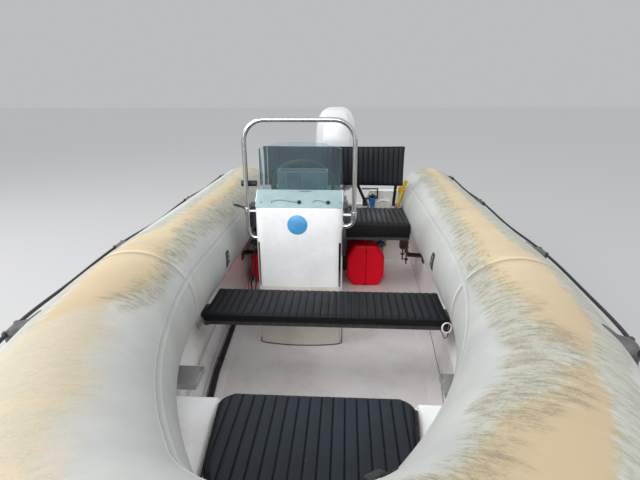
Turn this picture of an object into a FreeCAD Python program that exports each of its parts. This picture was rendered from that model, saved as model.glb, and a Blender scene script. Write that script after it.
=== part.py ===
"""Rigid inflatable boat with a side-offset steering console and one outboard.

Row frame in millimetres: +X to the bow, +Y to port, +Z up. The origin lies on
the centreline at the waterline, below the middle of the collar.
"""
import FreeCAD
import Part
import Sketcher
import math
import os

os.makedirs("parts", exist_ok=True)
doc = FreeCAD.newDocument("RibBoat")
V = FreeCAD.Vector

SIZES = [
    ("tube_radius", 235), ("tube_half", 764), ("tube_level", 570),
    ("curve_start", 171), ("curve_radius", 2584), ("curve_angle", 33),
    ("nose_radius", 414), ("sheer_rise", 76), ("chamber_joint", 450),
    ("stern_face", -1606), ("cone_length", 344), ("cone_tip", 70),
    ("deck_level", 30), ("deck_thick", 20), ("keel_depth", 235),
    ("transom_thick", 60), ("notch_level", 520), ("notch_width", 460), ("transom_level", 632),
    ("locker_back", 740), ("locker_level", 364), ("lid_thick", 16), ("lid_length", 570), ("lid_free", 66),
    ("lid_half", 336), ("lid_front_half", 190), ("cushion_thick", 50),
    ("thwart_front", 222), ("thwart_depth", 277), ("thwart_inset", 202),
    ("thwart_level", 436), ("thwart_pad", 48), ("board_thick", 18),
    ("console_front", -193), ("console_depth", 300), ("console_mid", -155),
    ("console_half", 232), ("console_lip", 827), ("console_top", 905),
    ("console_wall", 8), ("rail_radius", 12.5), ("rail_top", 1268),
    ("wheel_radius", 172), ("wheel_grip", 13), ("wheel_rake", 30),
    ("bench_front", -846), ("bench_depth", 500), ("bench_level", 570),
    ("bench_pad", 108), ("bench_inset", 236), ("back_inset", 28),
    ("back_low", 757), ("back_height", 274), ("back_thick", 55), ("back_face", -1135),
    ("tank_front", -996), ("tank_width", 272), ("tank_height", 320), ("tank_length", 300),
    ("tilt_back", -1650), ("tilt_level", 545), ("steer_back", -1750),
    ("cowl_level", 1272), ("cowl_low", 660), ("cowl_half", 172),
    ("cowl_front", -1650), ("cowl_length", 500),
    ("leg_back", -1800), ("plate_level", -190), ("prop_level", -335),
    ("prop_radius", 128), ("gap", 0.3), ("curve_gap", 0.8), ("line_radius", 6),
    ("eye_radius", 14), ("drain_radius", 12.5),
]
sheet = doc.addObject("Spreadsheet::Sheet", "Sizes")
for row, (alias, value) in enumerate(SIZES, start=1):
    sheet.set("A%d" % row, alias)
    sheet.set("B%d" % row, str(value))
    sheet.setAlias("B%d" % row, alias)
doc.recompute()


def size(alias):
    return float(sheet.get(alias))


def bound(text):
    """Turns @alias in a formula into a cell of the size sheet."""
    return str(text).replace("@", "Sizes.")


def bind(obj, prop, text):
    obj.setExpression(prop, bound(text))


def place(obj, x, y, z):
    bind(obj, "Placement.Base.x", x)
    bind(obj, "Placement.Base.y", y)
    bind(obj, "Placement.Base.z", z)


def block(x, y, z, length, width, height, label=None):
    """A box given by its low corner and its three sizes, all formulas."""
    obj = doc.addObject("Part::Box", label or "Block")
    bind(obj, "Length", length)
    bind(obj, "Width", width)
    bind(obj, "Height", height)
    place(obj, x, y, z)
    if label:
        obj.Label = label
    return obj


def rod(start, end, radius, label=None):
    """A cylinder between two points; its radius is a formula."""
    a, b = V(*start), V(*end)
    obj = doc.addObject("Part::Cylinder", label or "Rod")
    bind(obj, "Radius", radius)
    obj.Height = (b - a).Length
    obj.Placement = FreeCAD.Placement(a, FreeCAD.Rotation(V(0, 0, 1), b - a))
    if label:
        obj.Label = label
    return obj


def ball(centre, radius):
    obj = doc.addObject("Part::Sphere", "Ball")
    bind(obj, "Radius", radius)
    obj.Placement.Base = V(*centre)
    return obj


def ring(centre, normal, radius, thick, label=None):
    obj = doc.addObject("Part::Torus", label or "Ring")
    bind(obj, "Radius1", radius)
    bind(obj, "Radius2", thick)
    obj.Placement = FreeCAD.Placement(V(*centre), FreeCAD.Rotation(V(0, 0, 1), V(*normal)))
    if label:
        obj.Label = label
    return obj


def fuse(label, *shapes):
    obj = doc.addObject("Part::MultiFuse", label)
    obj.Shapes = list(shapes)
    obj.Refine = True
    obj.Label = label
    return obj


def cut(label, base, tool):
    obj = doc.addObject("Part::Cut", label)
    obj.Base = base
    obj.Tool = tool
    obj.Label = label
    return obj


def group(label, *shapes):
    obj = doc.addObject("Part::Compound", label)
    obj.Links = list(shapes)
    obj.Label = label
    return obj


def form(shape, label="Form"):
    obj = doc.addObject("Part::Feature", label)
    obj.Shape = shape
    obj.Label = label
    return obj


def body(label):
    obj = doc.addObject("PartDesign::Body", label)
    obj.Label = label
    return obj


def soft_box(label, x, y, z, length, width, height, radius):
    """A box with every edge rounded, as a body of its own."""
    owner = body(label)
    core = owner.newObject("PartDesign::AdditiveBox", "Core")
    bind(core, "Length", length)
    bind(core, "Width", width)
    bind(core, "Height", height)
    place(core, x, y, z)
    doc.recompute()
    edge = owner.newObject("PartDesign::Fillet", "Edge")
    edge.Base = (core, [""])
    edge.UseAllEdges = True
    bind(edge, "Radius", radius)
    owner.Tip = edge
    doc.recompute()
    return owner


def plane(owner, role):
    for item in owner.Origin.OriginFeatures:
        if item.Role == role:
            return item


def outline(owner, role, corners, offset):
    """A closed polygon on an origin plane; each corner is two (value, formula) pairs."""
    drawn = owner.newObject("Sketcher::SketchObject", "Outline")
    drawn.AttachmentSupport = (plane(owner, role), [""])
    drawn.MapMode = "FlatFace"
    bind(drawn, "AttachmentOffset.Base.z", offset)
    flat = [(c[0][0], c[1][0]) for c in corners]
    count = len(flat)
    for i in range(count):
        a, b = flat[i], flat[(i + 1) % count]
        drawn.addGeometry(Part.LineSegment(V(a[0], a[1], 0), V(b[0], b[1], 0)), False)
    for i in range(count):
        drawn.addConstraint(Sketcher.Constraint("Coincident", i, 2, (i + 1) % count, 1))
    for i in range(count):
        for axis, kind, line in ((0, "DistanceX", -2), (1, "DistanceY", -1)):
            value, text = corners[i][axis]
            if abs(value) < 1e-9:
                drawn.addConstraint(Sketcher.Constraint("PointOnObject", i, 1, line))
            else:
                index = drawn.addConstraint(Sketcher.Constraint(kind, -1, 1, i, 1, value))
                if text:
                    drawn.setExpression("Constraints[%d]" % index, bound(text))
    return drawn


def pad(owner, role, corners, length, offset="0"):
    drawn = outline(owner, role, corners, offset)
    grown = owner.newObject("PartDesign::Pad", "Grown")
    grown.Profile = drawn
    bind(grown, "Length", length)
    owner.Tip = grown
    doc.recompute()
    return grown


def rounded(owner, base, picks, radius):
    """Rounds the edges of base for which picks(edge) is true."""
    names = ["Edge%d" % (i + 1) for i, e in enumerate(base.Shape.Edges) if picks(e)]
    edge = owner.newObject("PartDesign::Fillet", "Edge")
    edge.Base = (base, names)
    bind(edge, "Radius", radius)
    owner.Tip = edge
    doc.recompute()
    return edge


def n(value, text=None):
    return (value, text)


def loft(sections, ruled=True):
    wires = []
    for points in sections:
        loop = [V(*p) for p in points]
        wires.append(Part.makePolygon(loop + [loop[0]]))
    return Part.makeLoft(wires, True, ruled)


# The collar: straight sides, a long bend, a tight nose, and a rising sheer.
R = size("tube_radius")
HALF = size("tube_half")
LEVEL = size("tube_level")
BEND_X = size("curve_start")
BEND_R = size("curve_radius")
BEND_A = math.radians(size("curve_angle"))
NOSE_R = size("nose_radius")
RISE = size("sheer_rise") / 1e6
JOINT = size("chamber_joint")
STERN = size("stern_face")
CURVE_GAP = size("curve_gap")

KNEE_X = BEND_X + BEND_R * math.sin(BEND_A)
KNEE_Y = HALF - BEND_R * (1 - math.cos(BEND_A))
NOSE_X = KNEE_X - NOSE_R * math.sin(BEND_A)
NOSE_SHIFT = KNEE_Y - NOSE_R * math.cos(BEND_A)


def collar(turn):
    """Centre and plan heading of the port tube at a plan turn from 0 to 90 degrees."""
    t = math.radians(turn)
    if t <= BEND_A:
        x = BEND_X + BEND_R * math.sin(t)
        y = HALF - BEND_R * (1 - math.cos(t))
    else:
        x = NOSE_X + NOSE_R * math.sin(t)
        y = NOSE_R * math.cos(t) + NOSE_SHIFT * (90.0 - turn) / (90.0 - math.degrees(BEND_A))
    z = LEVEL + RISE * (x - BEND_X) ** 2
    slope = 2 * RISE * (x - BEND_X) * math.cos(t)
    return V(x, y, z), V(math.cos(t), -math.sin(t), slope).normalize()


def turn_at(x):
    """Plan turn at which the port tube's centre has this X, on the long bend."""
    return math.degrees(math.asin(min(0.999, max(0.0, (x - BEND_X) / BEND_R))))


def flip(p):
    return V(p.x, -p.y, p.z)


def centre_at(x, side=1):
    """Tube centre at a station X behind the knee."""
    if x <= BEND_X:
        return V(x, side * HALF, LEVEL)
    p = collar(turn_at(x))[0]
    return V(p.x, side * p.y, p.z)


def hoop(centre, heading, radius):
    """A circle across a heading, started at its top."""
    up = V(0, 0, 1) - heading * heading.z
    up.normalize()
    side = heading.cross(up)
    turned = FreeCAD.Rotation(up, side, heading, "XYZ")
    line = Part.Circle(V(0, 0, 0), V(0, 0, 1), radius).toShape()
    line.Placement = FreeCAD.Placement(centre, turned)
    return Part.Wire([line])


def side_tube(side):
    cone = size("cone_length")
    steps = [(0.0, 1.0), (0.3, 0.965), (0.58, 0.86), (0.82, 0.66), (0.95, 0.45), (1.0, size("cone_tip") / R)]
    rings = [hoop(V(STERN - cone * a, side * HALF, LEVEL), V(-1, 0, 0), R * b) for a, b in steps]
    tail = Part.makeLoft(rings, True, True)
    straight = Part.makeCylinder(R, BEND_X - STERN, V(STERN, side * HALF, LEVEL), V(1, 0, 0))
    last = turn_at(JOINT)
    rings = []
    for i in range(4):
        p, d = collar(last * i / 3.0)
        if side < 0:
            p, d = flip(p), flip(d)
        rings.append(hoop(p, d, R))
    bend = Part.makeLoft(rings, True, False)
    return tail.fuse([straight, bend]).removeSplitter()


def bow_tube():
    first = turn_at(JOINT) + 0.007
    turns = [first, 10, 14, 18, 22, 26, 30, 33, 38, 44, 50, 56, 62, 68, 74, 80, 85]
    rings = []
    for turn in turns:
        p, d = collar(turn)
        rings.append(hoop(p, d, R))
    p, d = collar(90)
    rings.append(hoop(V(p.x, 0, p.z), V(0, -1, 0), R))
    for turn in reversed(turns):
        p, d = collar(turn)
        back = flip(d)
        rings.append(hoop(flip(p), V(-back.x, -back.y, -back.z), R))
    return Part.makeLoft(rings, True, True)


form(side_tube(1), "tube_port")
form(side_tube(-1), "tube_starboard")
form(bow_tube(), "tube_bow")


def on_tube(x, side, angle, out):
    """A point off the tube at a station X: angle up from the outer side, stand-off out."""
    if x <= BEND_X:
        centre, heading = V(x, side * HALF, LEVEL), V(1, 0, 0)
    else:
        centre, heading = collar(turn_at(x))
        if side < 0:
            centre, heading = flip(centre), flip(heading)
    up = V(0, 0, 1) - heading * heading.z
    up.normalize()
    outer = up.cross(heading) * (-side)
    if outer.y * side < 0:
        outer = outer * -1
    a = math.radians(angle)
    return centre + (outer * math.cos(a) + up * math.sin(a)) * (R + out)


# The rubbing strake along the outside of the collar.
def strake(stations):
    loops = []
    for centre, heading, side in stations:
        up = V(0, 0, 1) - heading * heading.z
        up.normalize()
        outer = heading.cross(up)
        if outer.dot(side) < 0:
            outer = outer * -1
        loop = []
        for angle, out in ((-13, CURVE_GAP), (-13, 9), (-9, 22), (-1, 22), (3, 9), (3, CURVE_GAP), (-1, CURVE_GAP), (-5, CURVE_GAP),
                           (-9, CURVE_GAP)):
            a = math.radians(angle)
            loop.append(centre + (outer * math.cos(a) + up * math.sin(a)) * (R + out))
        loops.append(Part.makePolygon(loop + [loop[0]]))
    return Part.makeLoft(loops, True, True)


def side_strake(side):
    rows = []
    for x in (STERN + 6, BEND_X, 260, 355, JOINT - 3):
        if x <= BEND_X:
            p, d = V(x, HALF, LEVEL), V(1, 0, 0)
        else:
            p, d = collar(turn_at(x))
        if side < 0:
            p, d = flip(p), flip(d)
        rows.append((p, d, V(0, side, 0)))
    return strake(rows)


def bow_strake():
    rows = []
    turns = [turn_at(JOINT + 3), 10, 14, 18, 22, 26, 30, 33, 38, 44, 50, 56, 62, 68, 74, 80, 85]
    for turn in turns:
        p, d = collar(turn)
        rows.append((p, d, V(p.x - 300, p.y * 3, 0)))
    p, d = collar(90)
    rows.append((V(p.x, 0, p.z), V(0, -1, 0), V(1, 0, 0)))
    for turn in reversed(turns):
        p, d = collar(turn)
        p, d = flip(p), flip(d)
        rows.append((p, V(-d.x, -d.y, -d.z), V(p.x - 300, p.y * 3, 0)))
    return strake(rows)


form(side_strake(1), "strake_port")
form(side_strake(-1), "strake_starboard")
form(bow_strake(), "strake_bow")

# Hull: a vee bottom up to the deck, as ruled sections.
DECK = size("deck_level")
UNDER = DECK - size("deck_thick")
KEEL = -size("keel_depth")
BOW_X = size("locker_back")


def vee(x, keel, chine_y, chine_z, side_y):
    half = [(x, 0, keel), (x, chine_y * 0.5, (keel + chine_z) / 2 - 6), (x, chine_y - 26, chine_z - 10),
            (x, chine_y, chine_z), (x, side_y, UNDER - 0.3)]
    return half + [(a, -b, c) for a, b, c in reversed(half[1:])]


bottom = form(loft([
    vee(STERN, KEEL, 640, -32, 698),
    vee(-700, KEEL, 640, -32, 690),
    vee(100, KEEL, 620, -28, 668),
    vee(BOW_X - 0.3, KEEL + 28, 545, -12, 612),
]), "hull")


BOW_TURNS = [10, 14, 18, 22, 26, 30, 33, 38, 44, 50, 56, 62, 68, 74, 80, 85]
MIDLINE = [V(STERN, HALF, LEVEL), V(BEND_X, HALF, LEVEL)]
MIDLINE += [collar(turn_at(JOINT) * i / 8.0)[0] for i in range(1, 9)]
MIDLINE += [collar(turn)[0] for turn in BOW_TURNS]
MIDLINE.append(V(collar(90)[0].x, 0, collar(90)[0].z))
MIDLINE += [flip(collar(turn)[0]) for turn in reversed(BOW_TURNS)]


def off_midline(p):
    """Distance from a point to the collar's centre line, run straight from ring to ring."""
    best = 1e9
    for a, b in zip(MIDLINE, MIDLINE[1:]):
        along_it = b - a
        share = min(1.0, max(0.0, (p - a).dot(along_it) / along_it.dot(along_it)))
        best = min(best, (p - a - along_it * share).Length)
    return best


def under(x, y, clear):
    """Level just below the collar at a point of the plan, by halving."""
    low, high = LEVEL - 2 * R, centre_at(min(x, KNEE_X)).z + 40
    for _ in range(30):
        middle = (low + high) / 2
        if off_midline(V(x, y, middle)) > R + clear:
            low = middle
        else:
            high = middle
    return low


def edge_of(x, inset, clear=None):
    """Underside of the collar at a station, at a distance in from its centre line."""
    if x <= KNEE_X:
        y = centre_at(x).y - inset
    else:
        y = math.sqrt(NOSE_R ** 2 - (x - NOSE_X) ** 2) - inset
    return y, under(x, y, CURVE_GAP if clear is None else clear)


def along(table, x):
    """Straight interpolation in a table of (x, value) rows."""
    for (a, va), (b, vb) in zip(table, table[1:]):
        if x <= b:
            return va + (vb - va) * (x - a) / (b - a)
    return table[-1][1]


# Deck pan with its side mouldings, and the raised bow moulding.
DECK_EDGE = [(STERN, 652), (-700, 628), (100, 578), (BOW_X, 500)]
FOOT = [(STERN, 698), (-700, 690), (100, 668), (BOW_X, 612)]
rows = [STERN + size("transom_thick") + 0.3, -700, 100, BOW_X - 0.3]
pan = loft([[(x, -along(DECK_EDGE, x), UNDER), (x, along(DECK_EDGE, x), UNDER), (x, along(DECK_EDGE, x), DECK),
             (x, -along(DECK_EDGE, x), DECK)] for x in rows])
form(pan, "deck")


def face_y(x, level):
    """Inner face of the side moulding at a station and level."""
    low, high = along(DECK_EDGE, x) + 8.3, edge_of(x, 128)
    return low + (high[0] - low) * (level - DECK - 60) / (high[1] - DECK - 60)


def side_mould(side):
    loops = []
    for x in (STERN, -700, 100, 171, 280, 390, 500, 620, BOW_X - 0.3):
        inner, foot = along(DECK_EDGE, x) + 0.3, along(FOOT, x)
        rest = [edge_of(x, inset) for inset in (128, 114, 100, 86, 72, 58, 44)]
        loop = [(inner, UNDER), (inner + 8, DECK + 60)] + rest + [(foot + 4, DECK + 40), (foot, UNDER)]
        loops.append([(x, side * y, z) for y, z in loop])
    return loft(loops)


group("side_moulding", form(side_mould(1)), form(side_mould(-1)))

SHELF = size("locker_level")
STEM = [(BOW_X, KEEL + 28), (900, KEEL + 55), (1050, KEEL + 98), (1200, KEEL + 160), (1300, KEEL + 205), (1400, 42),
        (1520, 148), (1600, 236), (1690, 350)]
CHINE_Y = [(BOW_X, 545), (900, 490), (1050, 418), (1200, 335), (1300, 277), (1400, 220), (1520, 150), (1600, 105),
           (1690, 60)]
CHINE_Z = [(BOW_X, -12), (900, 15), (1050, 55), (1200, 105), (1300, 146), (1400, 200), (1520, 290), (1600, 360),
           (1690, 440)]


RISE_TOP = [(BOW_X, 0), (1400, 0), (1520, 62), (1600, 100), (1690, 128)]


def prow(x):
    rest = [edge_of(x, inset) for inset in (30, 45, 60, 75, 90)]
    top = SHELF + along(RISE_TOP, x)
    half = [(0, along(STEM, x)), (along(CHINE_Y, x), along(CHINE_Z, x))] + rest + [(rest[-1][0] - 25, top), (0, top)]
    return [(x, y, z) for y, z in half] + [(x, -y, z) for y, z in reversed(half[1:-1])]


prow_shape = loft([prow(x) for x in (BOW_X, 796, 850, 910, 969, 1025, 1082, 1139, 1195, 1250, 1304, 1355, 1410, 1463,
                                     1520, 1578, 1640, 1690)])
hold = block("@locker_back+50", "-@lid_half+116", "@deck_level+20", "@lid_length-130", "2*@lid_half-232", "600")
cut("bow_moulding", form(prow_shape), hold)

# Transom with the notch for the motor.
transom = body("transom")
right_half = [(n(along(DECK_EDGE, STERN + size("transom_thick")) - 0.4), n(UNDER, "@deck_level-@deck_thick")),
              (n(along(DECK_EDGE, STERN + size("transom_thick")) + 7.3), n(DECK + 60, "@deck_level+60"))]
touch = (R + CURVE_GAP) / math.cos(math.radians(6))
for a in (236, 224, 212, 200, 188, 176):
    c, d = math.cos(math.radians(a)), math.sin(math.radians(a))
    scale = touch / R
    right_half.append((n(HALF + touch * c, "@tube_half+@tube_radius*%.6f" % (scale * c)),
                       n(LEVEL + touch * d, "@tube_level+@tube_radius*%.6f" % (scale * d))))
TL, NL, NW = size("transom_level"), size("notch_level"), size("notch_width")
right_half += [(n(524, "@tube_half-@tube_radius-5"), n(TL, "@transom_level")),
               (n(NW / 2 + 60, "@notch_width/2+60"), n(TL, "@transom_level")),
               (n(NW / 2, "@notch_width/2"), n(NL, "@notch_level"))]
left_half = [((-a[0], "-(%s)" % a[1] if a[1] else None), b) for a, b in reversed(right_half)]
pad(transom, "YZ_Plane", right_half + left_half, "@transom_thick", "@stern_face")
drain = transom.newObject("PartDesign::SubtractiveCylinder", "Drain")
bind(drain, "Radius", "@drain_radius")
bind(drain, "Height", "@transom_thick+20")
drain.Placement = FreeCAD.Placement(V(STERN - 10, -400, DECK + 40), FreeCAD.Rotation(V(0, 0, 1), V(1, 0, 0)))
bind(drain, "Placement.Base.x", "@stern_face-10")
bind(drain, "Placement.Base.z", "@deck_level+40")
transom.Tip = drain
doc.recompute()

# Bow locker lid on its forward hinge, with the cushion on it.
LID_X = BOW_X + 20
lid = body("bow_lid")
pad(lid, "XY_Plane", [
    (n(LID_X, "@locker_back+20"), n(-size("lid_half"), "-@lid_half")),
    (n(LID_X + 330, "@locker_back+350"), n(-size("lid_half") + 36, "-@lid_half+36")),
    (n(LID_X + size("lid_length"), "@locker_back+20+@lid_length"), n(-size("lid_front_half"), "-@lid_front_half")),
    (n(LID_X + size("lid_length"), "@locker_back+20+@lid_length"), n(size("lid_front_half"), "@lid_front_half")),
    (n(LID_X + 330, "@locker_back+350"), n(size("lid_half") - 36, "@lid_half-36")),
    (n(LID_X, "@locker_back+20"), n(size("lid_half"), "@lid_half")),
], "@lid_thick", "@locker_level+@gap")
for spot in (-140, 0, 140):
    knuckle = lid.newObject("PartDesign::AdditiveCylinder", "Knuckle")
    bind(knuckle, "Radius", "7")
    bind(knuckle, "Height", "50")
    knuckle.Placement = FreeCAD.Placement(V(0, spot + 25, 0), FreeCAD.Rotation(V(0, 0, 1), V(0, -1, 0)))
    bind(knuckle, "Placement.Base.x", "@locker_back+20+@lid_length")
    bind(knuckle, "Placement.Base.z", "@locker_level+@gap+@lid_thick+1")
    lid.Tip = knuckle
    doc.recompute()
cushion = body("bow_cushion")
grown = pad(cushion, "XY_Plane", [
    (n(LID_X + 4, "@locker_back+24"), n(-size("lid_half") + 8, "-@lid_half+8")),
    (n(LID_X + 328, "@locker_back+348"), n(-size("lid_half") + 42, "-@lid_half+42")),
    (n(LID_X + size("lid_length") - size("lid_free"), "@locker_back+20+@lid_length-@lid_free"),
     n(-size("lid_front_half") - 10, "-@lid_front_half-10")),
    (n(LID_X + size("lid_length") - size("lid_free"), "@locker_back+20+@lid_length-@lid_free"),
     n(size("lid_front_half") + 10, "@lid_front_half+10")),
    (n(LID_X + 328, "@locker_back+348"), n(size("lid_half") - 42, "@lid_half-42")),
    (n(LID_X + 4, "@locker_back+24"), n(size("lid_half") - 8, "@lid_half-8")),
], "@cushion_thick", "@locker_level+@lid_thick+2*@gap")
rounded(cushion, grown, lambda e: abs(e.BoundBox.ZLength - size("cushion_thick")) < 1, "46")

# Thwart: board, cushion and the bent plates it hangs on.
block("@thwart_front-@thwart_depth+5", "-(@tube_half-@thwart_inset)", "@thwart_level-@thwart_pad-@board_thick",
      "@thwart_depth-10", "2*(@tube_half-@thwart_inset)", "@board_thick", "thwart_board")
soft_box("thwart_cushion", "@thwart_front-@thwart_depth", "-(@tube_half-@thwart_inset)", "@thwart_level-@thwart_pad+@gap",
         "@thwart_depth", "2*(@tube_half-@thwart_inset)", "@thwart_pad-@gap", "9")


def bracket(x, side, width=110, shelf=130):
    """A bent plate on the side moulding, its shelf just below the thwart board."""
    top = size("thwart_level") - size("thwart_pad") - size("board_thick") - size("gap")
    loops = []
    for at in (x - width / 2, x + width / 2):
        face = [face_y(at, top) - 0.9, face_y(at, top - 70) - 0.9]
        loop = [(face[0] - shelf, top), (face[0], top), (face[1], top - 70), (face[1] - 4, top - 70),
                (face[0] - 4.3, top - 4), (face[0] - shelf, top - 4)]
        loops.append([(at, side * y, z) for y, z in loop])
    return form(loft(loops))


# Console: a hollow shell on the deck, open behind, with a raked dash.
CX, CY = size("console_front"), size("console_mid")
shell = body("console")
CD = size("console_depth")
grown = pad(shell, "XZ_Plane", [
    (n(CX, "@console_front"), n(DECK + 0.3, "@deck_level+@gap")),
    (n(CX, "@console_front"), n(size("console_lip"), "@console_lip")),
    (n(CX - 100, "@console_front-100"), n(size("console_top"), "@console_top")),
    (n(CX - CD, "@console_front-@console_depth"), n(size("console_top") - 110, "@console_top-110")),
    (n(CX - CD, "@console_front-@console_depth"), n(DECK + 0.3, "@deck_level+@gap")),
], "2*@console_half", "-@console_mid-@console_half")
rounded(shell, grown, lambda e: e.BoundBox.XMin > CX - 1 and e.BoundBox.ZLength > 300, "46")
hollow = shell.newObject("PartDesign::SubtractiveBox", "Hollow")
bind(hollow, "Length", "@console_depth-@console_wall+20")
bind(hollow, "Width", "2*@console_half-2*@console_wall")
bind(hollow, "Height", "@console_lip-@deck_level-180")
place(hollow, "@console_front-@console_depth-20", "@console_mid-@console_half+@console_wall", "@deck_level-10")
shell.Tip = hollow
doc.recompute()

# Windscreen: an arched front pane with a swept wing each side, one wrapped sheet.
screen = body("windscreen")
TOP = size("console_top")
SW = size("console_half") - 4
sheet_plan = pad(screen, "XY_Plane", [
    (n(CX - 100, "@console_front-100"), n(CY + 170, "@console_mid+170")),
    (n(CX - 130, "@console_front-130"), n(CY + SW - 9, "@console_mid+@console_half-13")),
    (n(CX - 245, "@console_front-245"), n(CY + SW, "@console_mid+@console_half-4")),
    (n(CX - 245, "@console_front-245"), n(CY + SW - 5, "@console_mid+@console_half-9")),
    (n(CX - 133, "@console_front-133"), n(CY + SW - 14, "@console_mid+@console_half-18")),
    (n(CX - 105, "@console_front-105"), n(CY + 168, "@console_mid+168")),
    (n(CX - 105, "@console_front-105"), n(CY - 168, "@console_mid-168")),
    (n(CX - 133, "@console_front-133"), n(CY - SW + 14, "@console_mid-@console_half+18")),
    (n(CX - 245, "@console_front-245"), n(CY - SW + 5, "@console_mid-@console_half+9")),
    (n(CX - 245, "@console_front-245"), n(CY - SW, "@console_mid-@console_half+4")),
    (n(CX - 130, "@console_front-130"), n(CY - SW + 9, "@console_mid-@console_half+13")),
    (n(CX - 100, "@console_front-100"), n(CY - 170, "@console_mid-170")),
], "400", "@console_top-140")


def trim(role, corners, depth, offset):
    """Cuts the screen with a polygon run through it."""
    drawn = outline(screen, role, corners, offset)
    away = screen.newObject("PartDesign::Pocket", "Trim")
    away.Profile = drawn
    away.Reversed = True
    bind(away, "Length", depth)
    screen.Tip = away
    doc.recompute()


trim("XZ_Plane", [
    (n(CX - 80), n(TOP + 0.4, "@console_top+0.4")), (n(CX - 100, "@console_front-100"), n(TOP + 0.4, "@console_top+0.4")),
    (n(CX - 300, "@console_front-300"), n(TOP - 109.6, "@console_top-109.6")), (n(CX - 300), n(TOP - 200)),
    (n(CX - 80), n(TOP - 200)),
], "700", "-@console_mid+350-700")
trim("YZ_Plane", [
    (n(CY - 300), n(TOP + 150)), (n(CY - SW - 2), n(TOP + 205)), (n(CY - 190), n(TOP + 228)), (n(CY - 120), n(TOP + 246)),
    (n(CY), n(TOP + 253)), (n(CY + 120), n(TOP + 246)), (n(CY + 190), n(TOP + 228)), (n(CY + SW + 2), n(TOP + 205)),
    (n(CY + 300), n(TOP + 150)), (n(CY + 300), n(TOP + 300)), (n(CY - 300), n(TOP + 300)),
], "400", "@console_front-300")
trim("XZ_Plane", [
    (n(CX - 120), n(TOP + 300)), (n(CX - 150), n(TOP + 225)), (n(CX - 238), n(TOP + 60)), (n(CX - 242), n(TOP - 60)),
    (n(CX - 300), n(TOP - 60)), (n(CX - 300), n(TOP + 300)),
], "700", "-@console_mid+350-700")

# Instrument tray behind the screen.
tray_out = block("@console_front-202", "@console_mid-120", "@console_top-60", "92", "265", "155")
tray_in = block("@console_front-198", "@console_mid-116", "@console_top+4", "84", "257", "120")
dash = [(CX - 100.15, TOP + 0.27), (CX - CD - 0.15, TOP - 109.73), (CX - CD - 0.15, 400), (CX - 100.15, 400)]
wedge = Part.Face(Part.makePolygon([V(x, CY - 260, z) for x, z in dash + dash[:1]])).extrude(V(0, 520, 0))
tray_tools = fuse("TrayTools", tray_in, form(wedge, "Dash"))
cut("console_tray", tray_out, tray_tools)


def pipe(points, bends, radius):
    """A bent tube: straight runs joined by tangent arcs of the given radii."""
    pts = [V(*p) for p in points]
    edges, here = [], pts[0]
    for i in range(1, len(pts) - 1):
        a = (pts[i - 1] - pts[i]).normalize()
        b = (pts[i + 1] - pts[i]).normalize()
        half = a.getAngle(b) / 2.0
        reach = bends[i - 1] / math.tan(half)
        p, q = pts[i] + a * reach, pts[i] + b * reach
        mid = (a + b).normalize()
        middle = pts[i] + mid * (bends[i - 1] / math.sin(half) - bends[i - 1])
        if (p - here).Length > 1e-6:
            edges.append(Part.LineSegment(here, p).toShape())
        edges.append(Part.Arc(p, middle, q).toShape())
        here = q
    edges.append(Part.LineSegment(here, pts[-1]).toShape())
    path = Part.Wire(edges)
    start = Part.Circle(pts[0], pts[1] - pts[0], radius).toShape()
    return path.makePipeShell([Part.Wire([start])], True, False), path.Length


RT = size("rail_top")
RR = size("rail_radius")
RX = CX - 100
HALF_C = size("console_half") + size("gap")
rail_shape, _ = pipe([
    (RX, CY - HALF_C, 633), (RX, CY - 290, 633), (RX, CY - 290, RT), (RX, CY + 290, RT), (RX, CY + 290, 705),
    (RX, CY + HALF_C, 705),
], [44, 110, 110, 44], RR)
form(rail_shape, "console_rail")

# Helm: a raked wheel with three spokes on a shaft from the dash.
rake = math.radians(size("wheel_rake"))
axle = V(-math.cos(rake), 0, math.sin(rake))
HUB = V(CX - CD - 30, CY, TOP - 20)
WR = size("wheel_radius")
rim = ring(tuple(HUB), tuple(axle), "@wheel_radius", "@wheel_grip")
hub = rod(tuple(HUB - axle * 22), tuple(HUB + axle * 14), "32")
spokes = []
for k in range(3):
    a = math.radians(90 + 120 * k)
    reach = V(0, 1, 0) * math.cos(a) + axle.cross(V(0, 1, 0)) * math.sin(a)
    spokes.append(rod(tuple(HUB + reach * 20), tuple(HUB + reach * WR), "9"))
fuse("steering_wheel", rim, hub, *spokes)
HELM = HUB - axle * 22.3
helm_shape = Part.makeCylinder(38, 95, HELM - axle * 95, axle).cut(wedge)
helm_shape = helm_shape.cut(Part.makeBox(400, 600, 400, V(CX - 100, CY - 300, TOP - 300)))
form(helm_shape, "helm_unit")

# Throttle box on the starboard side of the console with its lever.
side_y = CY - size("console_half") - 0.3
block(str(CX - 230), str(side_y - 60), str(TOP - 220), "110", "60", "120", "throttle_box")
lever_arm = block(str(CX - 168), str(side_y - 74.3), str(TOP - 150), "26", "14", "172")
lever_grip = rod((CX - 155, side_y - 94, TOP + 22), (CX - 155, side_y - 12, TOP + 22), "16")
fuse("throttle_lever", lever_arm, lever_grip)

# Aft bench, its cushion, the folding backrest and its arms.
BX, BD = size("bench_front"), size("bench_depth")
seat_board = block("@bench_front-@bench_depth", "-(@tube_half-@bench_inset)", "@bench_level-@bench_pad-20", "@bench_depth",
                   "2*(@tube_half-@bench_inset)", "20")
LEG_TALL = "@bench_level-@bench_pad-@deck_level-20-@gap"
seat_foot = block("@bench_front-@bench_depth+20", "-(@tube_half-@bench_inset)+20", "@deck_level+@gap", "20",
                  "(@tube_half-@bench_inset)+260", LEG_TALL)


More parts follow.
